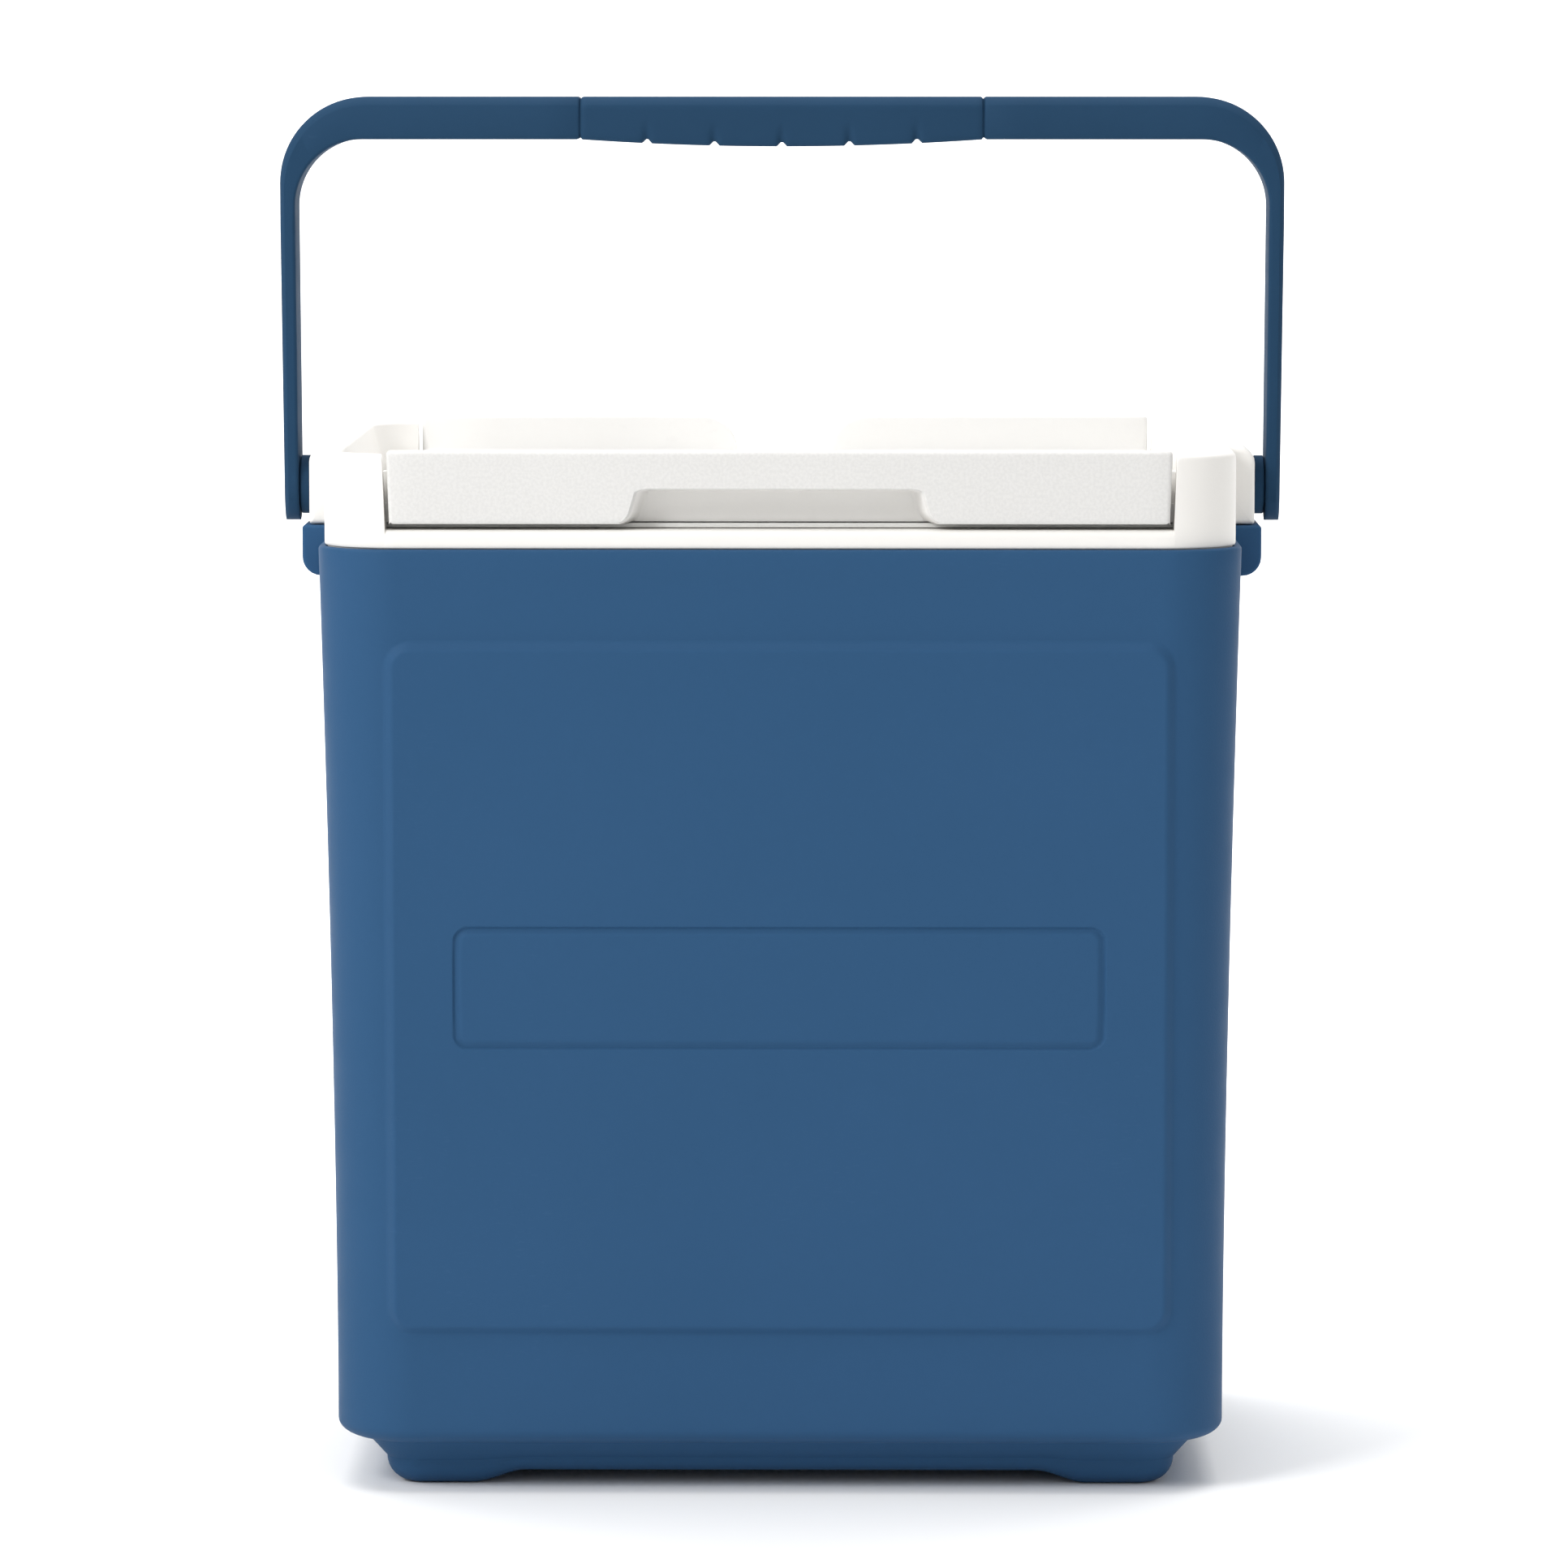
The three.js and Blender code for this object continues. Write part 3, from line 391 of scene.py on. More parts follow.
shell_rings += [shell_ring(z, inset, outside=False) for z, inset in inside_levels]
shell = skin("shell", shell_rings, strip_cap(len(shell_columns)))


def box_outline(low_u, high_u, low_v, high_v, radii, inset=0.0, steps=6):
    """Corners of a box from low-low round to low-high, each with its own radius, drawn in by inset."""
    centres = (
        (low_u, low_v, 1, 1, 180), (high_u, low_v, -1, 1, 270),
        (high_u, high_v, -1, -1, 0), (low_u, high_v, 1, -1, 90),
    )
    points = []
    for (u, v, way_u, way_v, start), radius in zip(centres, radii):
        r = max(radius - inset, 0.05)
        for i in range(steps + 1):
            a = math.radians(start + 90 * i / steps)
            u_here = u + way_u * (r + inset) + r * math.cos(a)
            points.append((u_here, v + way_v * (r + inset) + r * math.sin(a)))
    return points


def side_block(name, side, outline_box, radii, half_depth, edge=1.2):
    """A block on the chest's side, drawn in X and Z and run along Y, with rounded end edges."""
    rings = []
    turns = [math.radians(degrees) for degrees in (90, 60, 30, 0)]
    ends = [(half_depth - edge * (1 - math.sin(a)), edge * (1 - math.cos(a))) for a in turns]
    for y, inset in [(-y, d) for y, d in ends] + [(y, d) for y, d in reversed(ends)]:
        rings.append([(side * u, y, v) for u, v in box_outline(*outline_box, radii, inset)])
    return skin(name, rings, flat_cap)


for side in (-1, 1):
    bracket = side_block("bracket", side, BRACKET_BOX, BRACKET_ROUNDS, BRACKET_HALF_DEPTH)
    boolean(shell, bracket, "UNION")
drill(shell, 2, PLUG_HOLE, PLUG_HOLE_REACH, (0, 0))


def effect(name, sockets):
    """A new shader node group with its named inputs and outputs."""
    tree = bpy.data.node_groups.new(name, "ShaderNodeTree")
    for label, way, kind, value in sockets:
        socket = tree.interface.new_socket(label, in_out=way, socket_type="NodeSocket" + kind)
        if value is not None:
            socket.default_value = value
    return tree, tree.nodes.new("NodeGroupInput"), tree.nodes.new("NodeGroupOutput")


def feed(tree, socket, value):
    """Gives a node's input a number, a colour or a link."""
    if isinstance(value, bpy.types.NodeSocket):
        tree.links.new(value, socket)
    else:
        socket.default_value = value


def add_node(tree, kind, settings=None, **values):
    """A shader node; settings are its own properties, and values are its inputs' numbers or links."""
    node = tree.nodes.new("ShaderNode" + kind)
    for name, value in (settings or {}).items():
        setattr(node, name, value)
    for name, value in values.items():
        feed(tree, node.inputs[name.replace("_", " ")], value)
    return node


def noise(tree, place, scale, detail, roughness=0.5):
    made = add_node(tree, "TexNoise", Vector=place, Scale=scale, Detail=detail, Roughness=roughness)
    return made.outputs["Fac"]


def math_node(tree, kind, operation, *factors):
    """The result of a Math or VectorMath node; each factor is a number or a link."""
    node = add_node(tree, kind, {"operation": operation})
    for socket, factor in zip(node.inputs, factors):
        feed(tree, socket, factor)
    return node.outputs[0]


def ramped(tree, value, low, high, to_low=0.0, to_high=1.0):
    """Carries a value smoothly from one range to another."""
    node = add_node(tree, "MapRange", {"interpolation_type": "SMOOTHSTEP"}, Value=value)
    for name, number in (("From Min", low), ("From Max", high), ("To Min", to_low), ("To Max", to_high)):
        feed(tree, node.inputs[name], number)
    return node.outputs["Result"]


def mixed(tree, factor, a, b):
    """A colour between a and b."""
    node = tree.nodes.new("ShaderNodeMix")
    node.data_type = "RGBA"
    for name, value in (("Factor", factor), ("A", a), ("B", b)):
        feed(tree, next(s for s in node.inputs if s.name == name and s.enabled), value)
    return next(s for s in node.outputs if s.enabled)


# Moulded plastic: faint clouds of tone, a fine grain, and a sheen that wanders.
moulded, given, made = effect("moulded_plastic", [
    ("Color", "INPUT", "Color", (0.8, 0.8, 0.8, 1)),
    ("Shade", "INPUT", "Color", (0.7, 0.7, 0.7, 1)),
    ("Cloud Scale", "INPUT", "Float", 9.0),
    ("Grain Scale", "INPUT", "Float", 900.0),
    ("Grain Depth", "INPUT", "Float", 0.2),
    ("Smoothest", "INPUT", "Float", 0.35),
    ("Roughest", "INPUT", "Float", 0.5),
    ("Color", "OUTPUT", "Color", None),
    ("Roughness", "OUTPUT", "Float", None),
    ("Normal", "OUTPUT", "Vector", None),
])
place = add_node(moulded, "TexCoord").outputs["Object"]
clouds = ramped(moulded, noise(moulded, place, given.outputs["Cloud Scale"], 4.0, 0.55), 0.3, 0.7)
toned = mixed(moulded, clouds, given.outputs["Color"], given.outputs["Shade"])
sheen = noise(moulded, place, 60.0, 5.0)
rough = ramped(moulded, sheen, 0.25, 0.75, given.outputs["Smoothest"], given.outputs["Roughest"])
grain = noise(moulded, place, given.outputs["Grain Scale"], 2.0)
bump = add_node(moulded, "Bump", Height=grain, Strength=given.outputs["Grain Depth"], Distance=0.0002)
moulded.links.new(toned, made.inputs["Color"])
moulded.links.new(rough, made.inputs["Roughness"])
moulded.links.new(bump.outputs["Normal"], made.inputs["Normal"])

# Handling marks: thin rubbed hairs, drawn out one way, that gather in patches and are a little duller.
rubbed, given, made = effect("rubbed_marks", [
    ("Color", "INPUT", "Color", (0.8, 0.8, 0.8, 1)),
    ("Roughness", "INPUT", "Float", 0.5),
    ("Mark", "INPUT", "Color", (0.9, 0.9, 0.9, 1)),
    ("Amount", "INPUT", "Float", 0.2),
    ("Stretch", "INPUT", "Vector", (1.0, 1.0, 1.0)),
    ("Color", "OUTPUT", "Color", None),
    ("Roughness", "OUTPUT", "Float", None),
])
place = add_node(rubbed, "TexCoord").outputs["Object"]
drawn_out = math_node(rubbed, "VectorMath", "MULTIPLY", place, given.outputs["Stretch"])
hairs = ramped(rubbed, noise(rubbed, drawn_out, 220.0, 2.0), 0.62, 0.72)
patches = ramped(rubbed, noise(rubbed, place, 14.0, 2.0), 0.52, 0.68)
gathered = math_node(rubbed, "Math", "MULTIPLY", hairs, patches)
worn = math_node(rubbed, "Math", "MULTIPLY", gathered, given.outputs["Amount"])
marked = mixed(rubbed, worn, given.outputs["Color"], given.outputs["Mark"])
duller = math_node(rubbed, "Math", "MULTIPLY_ADD", worn, 0.25, given.outputs["Roughness"])
duller.node.use_clamp = True
rubbed.links.new(marked, made.inputs["Color"])
rubbed.links.new(duller, made.inputs["Roughness"])


def material(name):
    """A new material with its node tree and its Principled shader."""
    made_material = bpy.data.materials.new(name)
    made_material.use_nodes = True
    return made_material, made_material.node_tree, made_material.node_tree.nodes["Principled BSDF"]


def plastic(name, finish_values, marks, specular):
    """Satin moulded plastic with its tone, grain and faint handling marks."""
    made_material, tree, shader = material(name)
    base = add_node(tree, "Group", {"node_tree": moulded}, **finish_values).outputs
    handled = {"Color": base["Color"], "Roughness": base["Roughness"], **marks}
    handled = add_node(tree, "Group", {"node_tree": rubbed}, **handled).outputs
    tree.links.new(handled["Color"], shader.inputs["Base Color"])
    tree.links.new(handled["Roughness"], shader.inputs["Roughness"])
    tree.links.new(base["Normal"], shader.inputs["Normal"])
    shader.inputs["Specular IOR Level"].default_value = specular
    return made_material


shell_blue = plastic(
    "shell_blue",
    dict(Color=(0.026, 0.080, 0.171, 1), Shade=(0.028, 0.084, 0.181, 1), Cloud_Scale=4.0, Grain_Scale=1500.0,
         Grain_Depth=0.25, Smoothest=0.50, Roughest=0.56),
    dict(Mark=(0.07, 0.15, 0.27, 1), Amount=0.06, Stretch=(1.0, 1.0, 6.0)), 0.07,
)
finish(shell, "tub", "outer_shell", shell_blue)

# ---------------------------------------------------------------- liner
# The tub's inside: a thin glossy white moulding, tapered so that it leaves its mould, with a flange
# that lies on the shell's edge under the collar.

LINER_COLUMNS_TO = 112
LINER_OUTSIDE = (       # half width, height, corner radius, from the floor up to the flange's edge
    (128.6, 28.0, 14), (134.0, 28.9, 18), (137.8, 31.6, 21), (140.4, 36.4, 22.2), (145.7, 341.2, 22.2),
    (159.3, 341.2, 23.4), (160.0, 341.8, 24),
)
LINER_INSIDE = (        # from the flange's edge down to the floor
    (160.0, 342.8, 24), (159.3, 343.4, 23.4), (144.6, 343.4, 21), (143.6, 342.4, 20),
    (138.5, 38.2, 20), (137.4, 34.0, 19.5), (134.6, 31.4, 18), (130.0, 30.2, 14),
)
LINER_FULL = 145.7      # half width at which the columns keep their own x

liner_columns = both_ways(spaced(0, LINER_COLUMNS_TO, 14) + [LINER_COLUMNS_TO])
liner_rings = []
for half_x, z, corner in LINER_OUTSIDE + LINER_INSIDE:
    columns = [x * half_x / LINER_FULL for x in liner_columns]
    liner_rings.append([(x, y, z) for x, y in loop(half_x, half_x - WIDTH_OVER_DEPTH, corner, columns)])
liner = skin("liner", liner_rings, strip_cap(len(liner_columns)))
liner_white = plastic(
    "liner_white",
    dict(Color=(0.80, 0.80, 0.785, 1), Shade=(0.79, 0.79, 0.775, 1), Cloud_Scale=5.0, Grain_Scale=500.0,
         Grain_Depth=0.04, Smoothest=0.27, Roughest=0.29),
    dict(Mark=(0.77, 0.77, 0.76, 1), Amount=0.03, Stretch=(1.0, 1.0, 0.2)), 0.4,
)
finish(liner, "tub", "inner_liner", liner_white)

# ---------------------------------------------------------------- foam and fill plug
# Poured polyurethane foam between the skins, seen by nobody once the chest is closed up, and the
# small blue plug pressed into the hole in the floor through which the foam was poured.

foam, tree, shader = material("poured_foam")
place = add_node(tree, "TexCoord").outputs["Object"]
cells = add_node(tree, "TexVoronoi", Vector=place, Scale=420.0)
crust = noise(tree, place, 35.0, 4.0)
tree.links.new(mixed(tree, crust, (0.80, 0.68, 0.38, 1), (0.90, 0.80, 0.52, 1)), shader.inputs["Base Color"])
tree.links.new(ramped(tree, crust, 0.3, 0.7, 0.8, 0.95), shader.inputs["Roughness"])
pores = add_node(tree, "Bump", Height=cells.outputs["Distance"], Strength=0.5, Distance=0.0006)
tree.links.new(pores.outputs["Normal"], shader.inputs["Normal"])
for node in ("insulation_foam", "lid_foam"):
    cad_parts[node].material_slots[0].material = foam

PLUG_PROFILE = (        # radius and height, from the lower middle round the edge to the upper middle
    (0.0, 4.9), (7.6, 4.9), (8.6, 5.2), (9.0, 5.8), (9.0, 7.4), (8.6, 7.9), (8.2, 8.0), (0.0, 8.0),
)
fill_plug = lathe("fill_plug", PLUG_PROFILE, 2, (0, 0))
finish(fill_plug, "tub", "base_fill_plug", shell_blue)

# ---------------------------------------------------------------- collar
# A stout white frame moulded in one piece, snapped over the shell's edge. It has a wide notch at the
# front and the back for the lid's rims, a post at each corner, and a boss at each side for the handle.

COLLAR_BOTTOM = 344.0
COLLAR_TOP = 377.7
COLLAR_LEDGE = 350.6
COLLAR_HALF_X, COLLAR_HALF_Y = 164.6, 122.2
COLLAR_CORNER = 28.0
COLLAR_WALL = 9.8
MOUTH = (144.0, 101.0, 20.0)        # half width, half depth, corner radius
NOTCH_HALF = 141.3
NOTCH_LEAN = 0.9                    # how much wider the notch is at the top
WALL_AT_TOP = 6.0                   # the inner face leans out above the lid
COLLAR_ROUND = 2.2                  # of the outer edge
INNER_ROUND = 1.2
RIB = (163.45, 160.85, 338.0)       # outer and inner half width, low edge
BOSS_BOX = (160.0, 175.2, 346.6, 375.1)
BOSS_HALF_DEPTH = 23.0
BOSS_ROUNDS = (1.0, 1.2, 5.5, 1.0)
BOSS_END_ROUND = 2.0
PIVOT_Z = 360.2
TRUNNION_HOLE = 6.3
TRUNNION_HOLE_REACH = (158.7, 180.0)
HINGE_Y, HINGE_Z = 117.3, 360.0
PIN_HOLE = 3.3
PIN_HOLE_REACH = (136.0, 150.3)
LOWER_EDGE_ROUND = 0.8
LEDGE_FILLET = 1.5
LEAN_LEVELS = ((7.6, 370.5), (9.2, 363.5), (COLLAR_WALL, 361.0))     # inset and height down the inner face

collar_columns = both_ways(
    spaced(0, 136, 8.5) + [136.0, 139.0, 140.4, 141.0, 141.3, 141.5, 141.9, 142.2, 142.35, 142.6]
    + [143.0, 143.5, 144.8, 146.5]
)


def post_share(x):
    """How much of a post stands at x: 0 on the notch's sill, 1 on its top, rounded between."""
    past = abs(x) - NOTCH_HALF
    round_share = INNER_ROUND / (COLLAR_TOP - COLLAR_LEDGE)
    if past <= NOTCH_LEAN:
        return max(past, 0) / NOTCH_LEAN * (1 - round_share)
    reach = min((past - NOTCH_LEAN) / INNER_ROUND, 1)
    return 1 - round_share * (1 - math.sqrt(1 - (1 - reach) ** 2))


def collar_ring(post, sill):
    """One ring of the collar; post and sill give its inset and height there, with a blend between."""
    loops = []
    for inset, _ in (post, sill):
        sizes = [size - inset for size in (COLLAR_HALF_X, COLLAR_HALF_Y, COLLAR_CORNER)]
        loops.append(loop(*sizes, collar_columns, 14, 10))
    ring = []
    for (x1, y1), (x0, y0) in zip(*loops):
        share = post_share(x1)
        ring.append((x0 + (x1 - x0) * share, y0 + (y1 - y0) * share, sill[1] + (post[1] - sill[1]) * share))
    return ring


def level_ring(half_x, half_y, corner, z, columns, squeeze=1.0):
    """A flat ring at height z, its columns squeezed towards the middle."""
    return [(x, y, z) for x, y in loop(half_x, half_y, corner, [c * squeeze for c in columns], 14, 10)]


quarter = [math.radians(18 * i) for i in range(6)]
wall_from = COLLAR_BOTTOM + LOWER_EDGE_ROUND
post_wall = COLLAR_TOP - COLLAR_ROUND - wall_from
sill_wall = COLLAR_LEDGE - COLLAR_ROUND - wall_from
lower_edge = ((LOWER_EDGE_ROUND, COLLAR_BOTTOM), (0.25, COLLAR_BOTTOM + 0.2), (0.0, wall_from))
collar_rings = [collar_ring(level, level) for level in lower_edge]
for share in (0.25, 0.5, 0.75):
    collar_rings.append(collar_ring((0, wall_from + post_wall * share), (0, wall_from + sill_wall * share)))
for a in quarter:
    inset, drop = COLLAR_ROUND * (1 - math.cos(a)), COLLAR_ROUND * (1 - math.sin(a))
    collar_rings.append(collar_ring((inset, COLLAR_TOP - drop), (inset, COLLAR_LEDGE - drop)))
for a in reversed(quarter):
    inset, drop = WALL_AT_TOP - INNER_ROUND * (1 - math.cos(a)), INNER_ROUND * (1 - math.sin(a))
    sill_inset = inset + COLLAR_WALL - WALL_AT_TOP
    collar_rings.append(collar_ring((inset, COLLAR_TOP - drop), (sill_inset, COLLAR_LEDGE)))
for step, post in enumerate(LEAN_LEVELS + ((COLLAR_WALL, COLLAR_LEDGE + LEDGE_FILLET),)):
    collar_rings.append(collar_ring(post, (COLLAR_WALL + 0.12 * (step + 1), COLLAR_LEDGE)))
for a in quarter[1:]:
    inset, rise = COLLAR_WALL + LEDGE_FILLET * (1 - math.cos(a)), LEDGE_FILLET * (1 - math.sin(a))
    on_ledge = (inset + 0.5 * (1 - math.sin(a)), COLLAR_LEDGE)
    collar_rings.append(collar_ring((inset, COLLAR_LEDGE + rise), on_ledge))
mouth_squeeze = MOUTH[0] / COLLAR_HALF_X
for spread, z in (
    (1.0, COLLAR_LEDGE), (0.3, COLLAR_LEDGE - 0.3), (0.0, COLLAR_LEDGE - 1.0), (0.0, COLLAR_BOTTOM),
):
    collar_rings.append(level_ring(*[size + spread for size in MOUTH], z, collar_columns, mouth_squeeze))
rib_out, rib_in, rib_low = RIB
for half_x, z in ((rib_in, COLLAR_BOTTOM), (rib_in, rib_low), (rib_out, rib_low), (rib_out, COLLAR_BOTTOM)):
    corner = SHELL_CORNER - (shell_half_width(rib_low) - half_x)
    half_y = half_x - WIDTH_OVER_DEPTH
    collar_rings.append(level_ring(half_x, half_y, corner, z, collar_columns, half_x / COLLAR_HALF_X))
collar = skin("collar", collar_rings, closed=True)
for side in (-1, 1):
    boss = side_block("boss", side, BOSS_BOX, BOSS_ROUNDS, BOSS_HALF_DEPTH, BOSS_END_ROUND)
    boolean(collar, boss, "UNION")
    drill(collar, 0, TRUNNION_HOLE, [side * along for along in TRUNNION_HOLE_REACH], (0, PIVOT_Z))
    drill(collar, 0, PIN_HOLE, [side * along for along in PIN_HOLE_REACH], (HINGE_Y, HINGE_Z))
collar_white = plastic(
    "collar_white",
    dict(Color=(0.85, 0.83, 0.795, 1), Shade=(0.83, 0.81, 0.775, 1), Cloud_Scale=8.0, Grain_Scale=1300.0,
         Grain_Depth=0.15, Smoothest=0.40, Roughest=0.48),
    dict(Mark=(0.74, 0.72, 0.69, 1), Amount=0.1, Stretch=(0.3, 1.0, 1.0)), 0.2,
)
finish(collar, "tub", "top_collar", collar_white, 40)

# ---------------------------------------------------------------- hinge pins
# Two turned steel pins in the rear posts, on which the lid hinges.

pin_steel, tree, shader = material("pin_steel")
place = add_node(tree, "TexCoord").outputs["Object"]
turned = add_node(tree, "Mapping", Vector=place, Scale=(4.0, 1.0, 1.0))
lines = noise(tree, turned.outputs["Vector"], 500.0, 2.0)
tree.links.new(mixed(tree, lines, (0.50, 0.51, 0.52, 1), (0.62, 0.63, 0.64, 1)), shader.inputs["Base Color"])
tree.links.new(ramped(tree, lines, 0.3, 0.7, 0.25, 0.4), shader.inputs["Roughness"])
shader.inputs["Metallic"].default_value = 1.0
for node in ("hinge_pin_left", "hinge_pin_right"):
    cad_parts[node].material_slots[0].material = pin_steel

# ---------------------------------------------------------------- lid cover
# A white moulding with a flat sunk top. Its front rim closes the collar's notch and has a pocket for
# the fingers; its rear rim carries a fence in two halves. The outside has a fine stipple.

LID_HALF_X = 154.6
LID_FRONT, LID_REAR = -111.9, 98.5
LID_UNDERSIDE = 352.8
LID_FLOOR = 360.0
LID_SKIN = 2.8
LID_CORNER = 18.0
RIM_TOP = 379.0
TONGUE_HALF = 140.8
TONGUE_TAPER = 1.0          # how much narrower each end is at the bottom
TONGUE_END_ROUND = 1.6
POCKET_TOP = 365.5
POCKET_DEPTH = 14.0
POCKET_HALF_LOW, POCKET_HALF_TOP = 55.3, 51.6
POCKET_FLARE = 2.4          # how much its lower corners turn out
POCKET_FLARE_HEIGHT = 4.5
POCKET_EDGE = 5.0           # how far in from its sides the pocket reaches its full depth
POCKET_TOP_STEEPNESS = 3.0  # its top edge is this much steeper than its sides
POCKET_SIDE = 56.0          # the rim's stations near here follow the pocket's side
PLATE_BEHIND_POCKET = 76.0  # half width over which the plate stays back
RIM_FRONT_ROUND, RIM_BACK_ROUND = 1.7, 1.6
RIM_BACK = -115.2           # the rim's rear face
RIM_WAIST = 371.5           # the height where the rear face turns forward in a fillet
RIM_FILLET = 3.0
RIM_STEP = (-105.5, 367.5)  # place of the round over the ledge behind the rim
RIM_FOOT = (-104.5, 363.0)  # and of the fillet that ends on the plate
RIM_END = (-101.9, 358.5)
FENCE_GAP_HALF = 18.3
FENCE_END_RADIUS = 14.0
REAR_LEDGE = 366.0
FENCE_TOP = 380.2
FENCE_INNER = 118.0         # the fence's front face
FENCE_ROUND = 1.5
REAR_SLOPE = ((111.2, REAR_LEDGE), (110.3, 365.8), (109.7, 365.2), (107.6, 361.0), (106.9, 360.3))
REAR_SLOPE_END = 106.0
REAR_INNER = 94.5           # where the rear rim ends over the plate
REAR_FLOOR = LID_FLOOR - 0.02
LID_PIN_HOLE_REACH = (125.7, 145.0)

lid_columns = both_ways(spaced(0, 72, 12) + [72.0, 80.0, 92.0, 106.0, 120.0])
lid_middle = (LID_FRONT + LID_REAR) / 2
lid_half_y = (LID_REAR - LID_FRONT) / 2


def lid_ring(inset, z):
    """One ring of the lid's plate; behind the finger pocket its front edge stays back inside the rim."""
    ring = level_ring(LID_HALF_X - inset, lid_half_y - inset, LID_CORNER - inset, z, lid_columns)
    ring = [(x, y + lid_middle, z) for x, y, z in ring]
    kept_back = LID_FRONT + 7 + inset * 0.5
    return [(x, max(y, kept_back) if abs(x) < PLATE_BEHIND_POCKET else y, z) for x, y, z in ring]


plate_levels = (
    (3.0, LID_FLOOR - LID_SKIN), (3.0, LID_UNDERSIDE + 0.4), (2.6, LID_UNDERSIDE), (0.5, LID_UNDERSIDE),
    (0.0, LID_UNDERSIDE + 0.5), (0.0, LID_FLOOR - 1.0), (0.3, LID_FLOOR - 0.3), (1.0, LID_FLOOR),
)
lid_cover = skin("cover", [lid_ring(*level) for level in plate_levels], strip_cap(len(lid_columns)))


def pocket_half_width(z):
    """Half the finger pocket's width at height z: narrower upwards, and flared at its lower corners."""
    above = min(max(z - LID_UNDERSIDE, 0), POCKET_TOP - LID_UNDERSIDE)
    lean = POCKET_HALF_LOW + (POCKET_HALF_TOP - POCKET_HALF_LOW) * above / (POCKET_TOP - LID_UNDERSIDE)
    return lean + POCKET_FLARE * max(1 - above / POCKET_FLARE_HEIGHT, 0) ** 2


def pocket_depth(x, z):
    """How deep the finger pocket is at x and z on the front rim; its sides and top edge are eased."""
    from_side = pocket_half_width(z) - abs(x)
    from_top = (POCKET_TOP - z) * POCKET_TOP_STEEPNESS
    inside = min(from_side, from_top)
    if max(from_side, from_top) < POCKET_EDGE:
        inside = POCKET_EDGE - math.hypot(POCKET_EDGE - from_side, POCKET_EDGE - from_top)
    return POCKET_DEPTH * smooth_step(inside / POCKET_EDGE)


def end_inset(x, half, radius):
    """How far an edge is drawn in near a bar's end, for a quarter round."""
    past = max(abs(x) - half + radius, 0) / radius
    return radius * (1 - math.sqrt(max(1 - past * past, 0)))


rim_rows = spaced(LID_UNDERSIDE + 1.0, 362.0, 1.0) + spaced(362.0, 367.0, 0.28)
rim_rows += spaced(367.0, RIM_TOP - RIM_FRONT_ROUND, 1.5)


def front_rim_section(x):
    """The front rim's closed outline at x, from the bottom of its face up and over to the back."""
    drawn = end_inset(x, TONGUE_HALF, TONGUE_END_ROUND)
    low, high = LID_UNDERSIDE + drawn, RIM_TOP - drawn
    face = -COLLAR_HALF_Y + drawn
    back = RIM_BACK - drawn
    shift = math.exp(-((abs(x) - POCKET_SIDE) / 9.0) ** 4) if abs(x) < POCKET_SIDE + 19 else 0
    section = [(x, face + 1.0 + pocket_depth(x, low), low), (x, face + 0.3 + pocket_depth(x, low), low + 0.3)]
    for z in rim_rows:
        z = min(max(z, low + (z - LID_UNDERSIDE) * 0.2), high - (RIM_TOP - z))
        moved = math.copysign(abs(x) + shift * (pocket_half_width(z) - POCKET_SIDE), x)
        section.append((moved, face + pocket_depth(moved, z), z))
    shifted = section[-1][0]
    sixths = [math.radians(15 * i) for i in range(7)]
    for a in sixths:
        front_y = face + RIM_FRONT_ROUND * (1 - math.cos(a))
        section.append((shifted, front_y, high - RIM_FRONT_ROUND * (1 - math.sin(a))))
    for a in reversed(sixths):
        back_y = back - RIM_BACK_ROUND * (1 - math.cos(a))
        section.append((shifted, back_y, high - RIM_BACK_ROUND * (1 - math.sin(a))))
    for a in sixths:
        section.append((shifted, back + RIM_FILLET * (1 - math.cos(a)), RIM_WAIST - RIM_FILLET * math.sin(a)))
    for i in range(5):
        a = math.radians(22.5 * i)
        section.append((x, RIM_STEP[0] + math.sin(a) - drawn, RIM_STEP[1] + math.cos(a)))
    for a in quarter:
        foot_y = RIM_FOOT[0] + RIM_FILLET * (1 - math.cos(a)) - drawn
        section.append((x, foot_y, RIM_FOOT[1] - (RIM_FILLET + 0.05) * math.sin(a)))
    section += [(x, *RIM_END), (x, RIM_END[0], low)]
    near_end = max(abs(x) - 100, 0) / (TONGUE_HALF - 100)
    taper = math.copysign(TONGUE_TAPER * near_end / (RIM_TOP - LID_UNDERSIDE), x)
    return [(px - taper * (RIM_TOP - pz), py, pz) for px, py, pz in section]


end_turns = [math.radians(a) for a in (0, 22, 44, 62, 76, 86)]
end_stations = [TONGUE_HALF - TONGUE_END_ROUND * (1 - math.sin(a)) for a in end_turns]
rim_stations = (
    spaced(0, 38, 4) + spaced(38, 68, 0.6) + spaced(68, TONGUE_HALF - TONGUE_END_ROUND, 8) + end_stations
)
front_rim = skin("front_rim", [front_rim_section(x) for x in both_ways(rim_stations)], flat_cap)


def fence_share(x):
    """How much of the fence stands at x: 0 in the gap between its halves, 1 on them."""
    past = abs(x) - FENCE_GAP_HALF
    if past <= 0:
        return 0.0
    left = max(1 - past / FENCE_END_RADIUS, 0)
    height = FENCE_TOP - FENCE_END_RADIUS * (1 - math.sqrt(1 - left * left))
    return max(height - REAR_LEDGE, 0) / (FENCE_TOP - REAR_LEDGE)


